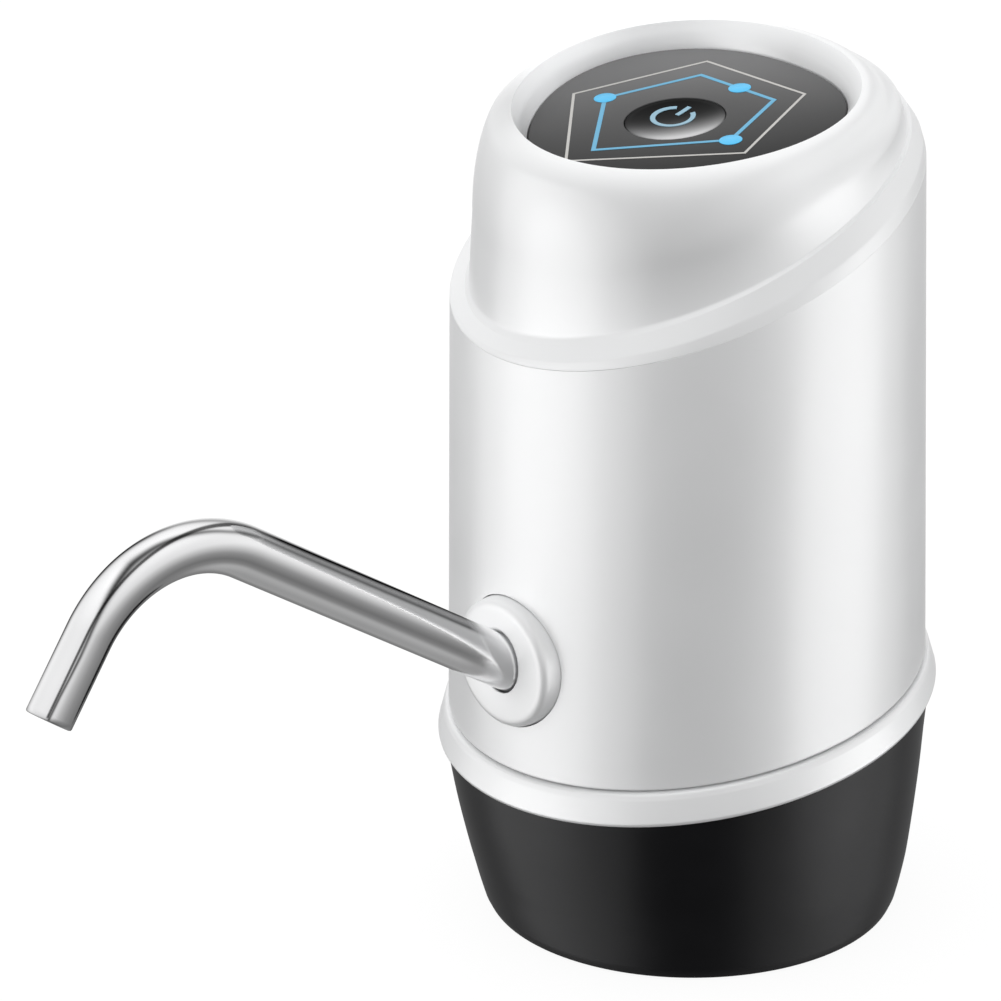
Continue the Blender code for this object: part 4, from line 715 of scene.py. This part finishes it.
def make_cap():
    """The cap's outside is round and leaned; its inside follows the panel's opening. Its rim and opening
    carry painted shade and painted highlights.
    """
    rings = []
    shades = []
    for radius, height, share, lean_share, shade, level in cap_outline():
        slope_x, slope_y = (
            a + (b - a) * lean_share for a, b in zip(values_at(CAP_LEANS, height), (RIM_LEAN_X, RIM_LEAN_Y))
        )
        ring = []
        for angle in turns(SHELL_SIDES):
            r = radius + share * opening_extra(angle)
            x, y = r * math.cos(angle), r * math.sin(angle)
            ring.append((x, y, height + slope_x * x + slope_y * y))
            # Painted shade, or below 0 a painted highlight, of this vertex
            shades.append(shade(angle, level))
        rings.append(ring)
    set_painted_shade(piece("cap", ring_surface(rings, True), "white_plastic", "housing", ("top_cap",)), shades)


def make_panel():
    """Fills the opening; its hole for the button sits a little in front of the middle."""
    hole_r, edge_r = BUTTON_R + GAP, OPENING_R - GAP
    rings = []
    for radius, height in softened([
        (edge_r, 0, 0.25), (edge_r, -PANEL_THICK), (hole_r, -PANEL_THICK), (hole_r, 0, 0.12),
    ]):
        at_hole = radius < edge_r / 2
        shift_x, shift_y = BUTTON_AT if at_hole else (0.0, 0.0)
        ring = []
        for angle in turns(SHELL_SIDES):
            r = radius if at_hole else radius + opening_extra(angle)
            ring.append((r * math.cos(angle) + shift_x, r * math.sin(angle) + shift_y, height))
        rings.append(ring)
    piece("panel", ring_surface(rings, True), "panel_plastic", "housing", ("control_panel",), PANEL)


def make_button():
    dish = []
    for step in range(DISH_STEPS + 1):
        out = step / DISH_STEPS
        dish.append(((BUTTON_R - BUTTON_LIP) * out, -BUTTON_DISH * (1 - out ** 2)))
    outline = dish + softened(BUTTON_OUTLINE)
    piece("button", turned(outline, ROUND_SIDES), "button_plastic", "button", ("power_button",), BUTTON)


def printed_line(corners, width):
    """A closed printed line of even width, as a slim raised bar with mitred corners."""
    points = [Vector(corner) for corner in corners]
    rows = []
    for before, here, after in zip(points[-1:] + points, points, points[1:] + points[:1]):
        ahead, behind = (after - here).normalized(), (here - before).normalized()
        square = Vector((-ahead.y, ahead.x))
        across = (square + Vector((-behind.y, behind.x))).normalized()
        stretch = width / 2 / max(0.3, across.dot(square))
        a, b = here + across * stretch, here - across * stretch
        rows.append([
            (a.x, a.y, PRINT_SINK), (a.x, a.y, LINE_RISE), (b.x, b.y, LINE_RISE), (b.x, b.y, PRINT_SINK),
        ])
    return ring_surface(rows, True)


def make_prints():
    grey = printed_line(GREY_CORNERS, GREY_WIDTH)
    piece("grey_outline", grey, "diffuser", "housing", (), PANEL, PRINT_GREY)
    blue = printed_line(BLUE_CORNERS, BLUE_WIDTH)
    piece("blue_outline", blue, "led_resin", "housing", (), PANEL, PRINT_BLUE)
    dots = bmesh.new()
    steps = ((DOT_R, PRINT_SINK), (DOT_R, DOT_RISE - DOT_BEVEL_DOWN), (DOT_R - DOT_BEVEL_IN, DOT_RISE))
    for x, y in DOTS_AT:
        rings = [[(x + r * math.cos(a), y + r * math.sin(a), h) for a in turns(DOT_SIDES)] for r, h in steps]
        ring_surface(rings, ends=True, bm=dots)
    piece("blue_dots", dots, "led_resin", "housing", (), PANEL, DOT_BLUE)


def dish_height(x, y):
    return -BUTTON_DISH * (1 - (x * x + y * y) / (BUTTON_R - BUTTON_LIP) ** 2)


def make_power_sign():
    """A ring open at one side and a bar in the opening, lying on the dish."""
    centre = Vector(SIGN_AT)
    sweep = 2 * math.pi - 2 * SIGN_GAP
    ring_turns = [SIGN_HEADING + SIGN_GAP + sweep * step / SIGN_STEPS for step in range(SIGN_STEPS + 1)]
    ring = [centre + SIGN_R * Vector((math.cos(a), math.sin(a))) for a in ring_turns]
    up = Vector((math.cos(SIGN_HEADING), math.sin(SIGN_HEADING)))
    bar = [centre + up * reach for reach in SIGN_BAR]
    sign = bmesh.new()
    for path in (ring, bar):
        rows = []
        for index, point in enumerate(path):
            ahead = (path[min(index + 1, len(path) - 1)] - path[max(index - 1, 0)]).normalized()
            across = Vector((-ahead.y, ahead.x)) * SIGN_WIDTH / 2
            row = []
            for side, lift in ((1, PRINT_SINK), (1, SIGN_RISE), (-1, SIGN_RISE), (-1, PRINT_SINK)):
                spot = point + across * side
                row.append((spot.x, spot.y, dish_height(spot.x, spot.y) + lift))
            rows.append(row)
        ring_surface(rows, ends=True, bm=sign)
    piece("power_sign", sign, "led_resin", "button", (), BUTTON, SIGN_BLUE)


def make_boss():
    """Round collar with a soft front edge, and the slanted bore for the spout, a little high in it."""
    around = turns(ROUND_SIDES)
    rings = []
    for radius, depth in softened(BOSS_OUTLINE, BOSS_EDGE_STEPS)[:-1]:
        rings.append([(radius * math.cos(a), depth, radius * math.sin(a) - BOSS_DROP) for a in around])
    long_r = BORE_R / math.cos(OUTLET_TILT)
    inward = Vector((0, math.cos(OUTLET_TILT), -math.sin(OUTLET_TILT)))
    for spread, sink in BORE_EDGE:
        rings.append([
            Vector(((BORE_R + spread) * math.cos(a), 0, (long_r + spread) * math.sin(a)))
            + inward * sink / math.cos(OUTLET_TILT) for a in around
        ])
    piece("boss", ring_surface(rings, True), "white_plastic", "housing", ("spout_boss",), BOSS_FACE)
    sleeve = turned(SLEEVE_OUTLINE, SLEEVE_SIDES)
    piece("boss_sleeve", sleeve, "white_plastic", "housing", ("spout_boss",), OUTLET)


def spout_line():
    """Centre line of the spout in the outlet's frame: point, outer radius, heading and mm from the boss."""
    stations = []
    for step in range(RUN_STEPS):
        run = -TUBE_INSERT + (TUBE_RUN + TUBE_INSERT) * step / RUN_STEPS
        stations.append(((0, 0, run), TUBE_ROOT_R, 0.0, run))
    for step in range(BEND_STEPS + 1):
        angle = TUBE_BEND_ANGLE * step / BEND_STEPS
        radius = TUBE_ROOT_R + (TUBE_TIP_R - TUBE_ROOT_R) * step / BEND_STEPS
        centre = (0, -TUBE_BEND_R * (1 - math.cos(angle)), TUBE_RUN + TUBE_BEND_R * math.sin(angle))
        stations.append((centre, radius, angle, TUBE_RUN + TUBE_BEND_R * angle))
    heading = Vector((0, -math.sin(TUBE_BEND_ANGLE), math.cos(TUBE_BEND_ANGLE)))
    last, far = Vector(stations[-1][0]), stations[-1][3]
    for run in END_RUNS:
        stations.append((tuple(last + heading * run), TUBE_TIP_R, TUBE_BEND_ANGLE, far + run))
    return stations


# How much the painted reflections darken the spout, below 0 lighten it, by mm from the boss and degrees from
# the top
def painted_reflection_shade(run, degrees):
    kept = 1.0
    for centres, depths, widths in PAINTED_REFLECTION_LINES:
        off = (degrees - level_at(centres, run)) / level_at(widths, run)
        kept *= 1 - level_at(depths, run) * math.exp(-off * off)
    first, second = level_at(PAINTED_REFLECTION_LINES[0][0], run), level_at(PAINTED_REFLECTION_LINES[1][0], run)
    if first < degrees < second:
        inside = min(1.0, (degrees - first) / BETWEEN_FADE, (second - degrees) / BETWEEN_FADE)
        kept *= 1 - level_at(BETWEEN_DEPTH, run) * inside
    return 1 - kept


def tube_ring(centre, radius, angle, onward=0.0):
    """Ring across the spout's line; onward moves it in the line's heading."""
    up = Vector((0, math.cos(angle), math.sin(angle)))
    ahead = Vector((0, -math.sin(angle), math.cos(angle)))
    middle = Vector(centre) + ahead * onward
    return [middle + radius * (math.cos(a) * Vector((1, 0, 0)) + math.sin(a) * up) for a in turns(TUBE_SIDES)]


def make_spout():
    """The bent tube, open at both ends. Its end edges are slightly rounded, save the root's inner one."""
    stations = spout_line()
    outside = [tube_ring(centre, radius, angle) for centre, radius, angle, run in stations]
    inside = [tube_ring(centre, radius - TUBE_WALL, angle) for centre, radius, angle, run in stations]

    def end_ring(station, edge, way_back):
        centre, radius, angle, run = station
        narrower, back = edge
        return tube_ring(centre, radius - narrower, angle, way_back * back)

    first, last = stations[0], stations[-1]
    outside[0] = end_ring(first, EDGE_OUTSIDE, 1)
    outside[-1] = end_ring(last, EDGE_OUTSIDE, -1)
    inside[-1] = end_ring(last, EDGE_INSIDE, -1)
    tip = [end_ring(last, EDGE_ROUND, -1), end_ring(last, EDGE_FACE, -1)]
    root = [end_ring(first, EDGE_FACE, 1), end_ring(first, EDGE_ROUND, 1)]
    rings = outside + tip + inside[::-1] + root
    tube = piece("spout_tube", ring_surface(rings, True), "steel", "spout_tube", ("spout",), OUTLET)
    # The painted reflections go onto the tube's own rings; the end rings get none
    from_top = [(90 - 360 * k / TUBE_SIDES + 180) % 360 - 180 for k in range(TUBE_SIDES)]
    shades = [painted_reflection_shade(run, degrees) for centre, radius, angle, run in stations for degrees in from_top]
    return set_painted_shade(tube, shades + [0.0] * (len(tube.data.vertices) - len(shades)))


# Painted reflection on the panel and painted shading on the button's dish, over their dark tones
painted_light_across(MATERIALS["panel_plastic"], *PANEL_TONE_AND_PAINTED_REFLECTION)
painted_light_across(MATERIALS["button_plastic"], *BUTTON_TONE_AND_PAINTED_SHADE)

# The solids' own materials are named after their slots
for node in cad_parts.values():
    slot_name = node.data.materials[0].name.split(".")[0]
    node.data.materials.clear()
    node.data.materials.append(MATERIALS[slot_name])

make_base()
make_ring()
make_body()
make_cap()
make_panel()
make_button()
make_prints()
make_power_sign()
make_boss()
make_charge_port()
spout_tube = make_spout()


# ---- studio

CAMERA_AZIMUTH = -44.0
CAMERA_LENS = 129.43
CAMERA_FROM_AXIS = (0.384003, -0.3708023, 0.2616833)
CAMERA_TURN = (69.9915, 0.9974, 48.7716)

FLOOR_R = 4.0
FLOOR_SINK = 0.0002
FLOOR_GREY = 0.10
FLOOR_GLOW = 0.92

# Brightness of the tent by the height of a direction, from -1 below to 1 above
SKY_BY_HEIGHT = (
    (-1.0, 0.40), (-0.9, 0.42), (-0.8, 0.28), (-0.643, 0.22), (-0.342, 0.36), (0.0, 0.70), (0.208, 0.95),
    (0.5, 1.12), (0.866, 1.35), (1.0, 1.65),
)
SKY_TOP = 1.8
# Dimming low down in front, where a line of the height gives its share
FRONT_DIM = 0.6
FRONT_SPREAD = math.radians(45)
FRONT_LINE = (-2.5, 0.35)
# Lighter walls left and right
WALL_GAIN = 0.4
WALL_AZIMUTH = 108
WALL_SPREAD = 30
WALL_HEIGHT = 0.35
# One dark seam, which starts above the horizon
SEAM_NORMAL = (-0.168, -0.915, 0.367)
SEAM_LEVEL = 0.12
SEAM_EDGE = (0.15, 0.05)
SEAM_RISE = (0.05, 0.25)
# White straight behind the object, for rays that it mirrors: a line of the direction's X gives its share
BEHIND_LINE = (-8.0, -7.0)
# Soft round lamps for the plastics' gloss: azimuth from the camera, angle across, radiance
GLOSS_LAMPS = ((-70.0, 50.0, 1.9), (-70.0, 90.0, 1.75), (76.0, 50.0, 2.6), (76.0, 90.0, 1.0))
GLOSS_LAMP_RISE = -16.0


def make_floor():
    bm = bmesh.new()
    bmesh.ops.create_circle(bm, cap_ends=True, radius=FLOOR_R, segments=ROUND_SIDES)
    mesh = bpy.data.meshes.new("floor")
    bm.to_mesh(mesh)
    bm.free()
    floor = linked("floor", mesh)
    floor.location.z = -FLOOR_SINK
    made, _, shader = node_material("pale_floor")
    shader.inputs["Base Color"].default_value = (FLOOR_GREY, FLOOR_GREY, FLOOR_GREY, 1)
    shader.inputs["Roughness"].default_value = 1.0
    shader.inputs["Specular IOR Level"].default_value = 0.0
    shader.inputs["Emission Color"].default_value = (1, 1, 1, 1)
    shader.inputs["Emission Strength"].default_value = FLOOR_GLOW
    mesh.materials.append(made)
    floor.visible_glossy = False
    floor.visible_diffuse = False
    floor.visible_shadow = False


def make_studio():
    """White for the camera; for the object a tent that is dim below and in front, with one dark seam."""
    world = bpy.data.worlds.new("studio")
    bpy.context.scene.world = world
    world.use_nodes = True
    tree = world.node_tree
    tree.nodes.clear()
    links = tree.links

    def math_node(operation, *values, clamp=False):
        node = tree.nodes.new("ShaderNodeMath")
        node.operation = operation
        node.use_clamp = clamp
        for socket, value in zip(node.inputs, values):
            if isinstance(value, (int, float)):
                socket.default_value = value
            else:
                links.new(value, socket)
        return node.outputs[0]

    def smooth_step(value, start, end):
        node = tree.nodes.new("ShaderNodeMapRange")
        node.interpolation_type = "SMOOTHSTEP"
        node.inputs["From Min"].default_value = start
        node.inputs["From Max"].default_value = end
        links.new(value, node.inputs["Value"])
        return node.outputs["Result"]

    # Directions, turned so that X points at the camera
    turn = tree.nodes.new("ShaderNodeVectorRotate")
    turn.rotation_type = "Z_AXIS"
    turn.inputs["Angle"].default_value = -math.radians(CAMERA_AZIMUTH)
    links.new(tree.nodes.new("ShaderNodeTexCoord").outputs["Generated"], turn.inputs["Vector"])
    split = tree.nodes.new("ShaderNodeSeparateXYZ")
    links.new(turn.outputs["Vector"], split.inputs["Vector"])
    height = split.outputs["Z"]
    azimuth = math_node("ARCTAN2", split.outputs["Y"], split.outputs["X"])

    stops = [(rise / 2 + 0.5, (level / SKY_TOP,) * 3) for rise, level in SKY_BY_HEIGHT]
    ramp = colour_ramp(tree, math_node("MULTIPLY_ADD", height, 0.5, 0.5), stops)
    sky = math_node("MULTIPLY", ramp.outputs["Color"], SKY_TOP)

    turned_off = math_node("POWER", math_node("ABSOLUTE", azimuth), 2)
    ahead = math_node("EXPONENT", math_node("MULTIPLY", turned_off, -(1 / FRONT_SPREAD) ** 2))
    low = math_node("MULTIPLY_ADD", height, *FRONT_LINE, clamp=True)
    dim = math_node("MULTIPLY", math_node("MULTIPLY", ahead, low), FRONT_DIM)
    sky = math_node("MULTIPLY", sky, math_node("SUBTRACT", 1.0, dim))

    beside = math_node(
        "MULTIPLY_ADD", math_node("ABSOLUTE", azimuth), 1 / math.radians(WALL_SPREAD),
        -WALL_AZIMUTH / WALL_SPREAD,
    )
    level = math_node("MULTIPLY", height, 1 / WALL_HEIGHT)
    reach = math_node("ADD", math_node("MULTIPLY", beside, beside), math_node("MULTIPLY", level, level))
    wall = math_node("MULTIPLY", math_node("EXPONENT", math_node("MULTIPLY", reach, -1.0)), WALL_GAIN)
    sky = math_node("MULTIPLY", sky, math_node("ADD", wall, 1.0))

    across = tree.nodes.new("ShaderNodeVectorMath")
    across.operation = "DOT_PRODUCT"
    across.inputs[1].default_value = SEAM_NORMAL
    links.new(turn.outputs["Vector"], across.inputs[0])
    gap = smooth_step(math_node("ABSOLUTE", across.outputs["Value"]), *SEAM_EDGE)
    seam = math_node("MULTIPLY", math_node("MULTIPLY", gap, smooth_step(height, *SEAM_RISE)), 1 - SEAM_LEVEL)
    sky = math_node("MULTIPLY", sky, math_node("SUBTRACT", 1.0, seam))

    path = tree.nodes.new("ShaderNodeLightPath")
    behind = math_node("MULTIPLY_ADD", split.outputs["X"], *BEHIND_LINE, clamp=True)
    mirrored = math_node(
        "ADD", path.outputs["Is Glossy Ray"], path.outputs["Is Transmission Ray"], clamp=True
    )
    white = math_node("MULTIPLY", behind, mirrored)
    shown = tree.nodes.new("ShaderNodeMix")
    shown.data_type = "FLOAT"
    shown.inputs["B"].default_value = 1.0
    links.new(math_node("ADD", path.outputs["Is Camera Ray"], white, clamp=True), shown.inputs["Factor"])
    links.new(sky, shown.inputs["A"])
    background = tree.nodes.new("ShaderNodeBackground")
    background.inputs["Color"].default_value = (1, 1, 1, 1)
    links.new(shown.outputs["Result"], background.inputs["Strength"])
    output = tree.nodes.new("ShaderNodeOutputWorld")
    links.new(background.outputs["Background"], output.inputs["Surface"])


def make_gloss_lamps(metal_pieces):
    """Broad soft lamps left and right that only put gloss on the plastics."""
    unlit = bpy.data.collections.new("not_lit_by_gloss_lamps")
    for obj in metal_pieces:
        unlit.objects.link(obj)
    for entry in unlit.collection_objects:
        entry.light_linking.link_state = "EXCLUDE"
    rise = math.radians(GLOSS_LAMP_RISE)
    for index, (azimuth, across, radiance) in enumerate(GLOSS_LAMPS):
        data = bpy.data.lights.new(f"gloss_lamp_{index + 1}", "SUN")
        data.angle = math.radians(across)
        data.energy = radiance * math.pi * math.sin(data.angle / 2) ** 2
        lamp = linked(data.name, data)
        turn = math.radians(CAMERA_AZIMUTH + azimuth)
        towards = Vector((math.cos(rise) * math.cos(turn), math.cos(rise) * math.sin(turn), math.sin(rise)))
        lamp.rotation_euler = towards.to_track_quat("Z", "Y").to_euler()
        lamp.visible_diffuse = False
        lamp.visible_transmission = False
        lamp.light_linking.receiver_collection = unlit
        lamp.light_linking.blocker_collection = unlit


def make_camera():
    """The camera that was fitted to the photograph."""
    data = bpy.data.cameras.new("camera")
    data.lens = CAMERA_LENS
    data.sensor_width = 36.0
    data.clip_start = 0.01
    data.clip_end = 50.0
    camera = linked("camera", data)
    x, y, z = CAMERA_FROM_AXIS
    camera.location = (x, AXIS_Y * MM + y, z)
    camera.rotation_euler = [math.radians(degrees) for degrees in CAMERA_TURN]
    bpy.context.scene.camera = camera


make_floor()
make_studio()
make_gloss_lamps([spout_tube])
make_camera()
bpy.context.scene.view_settings.view_transform = "Standard"
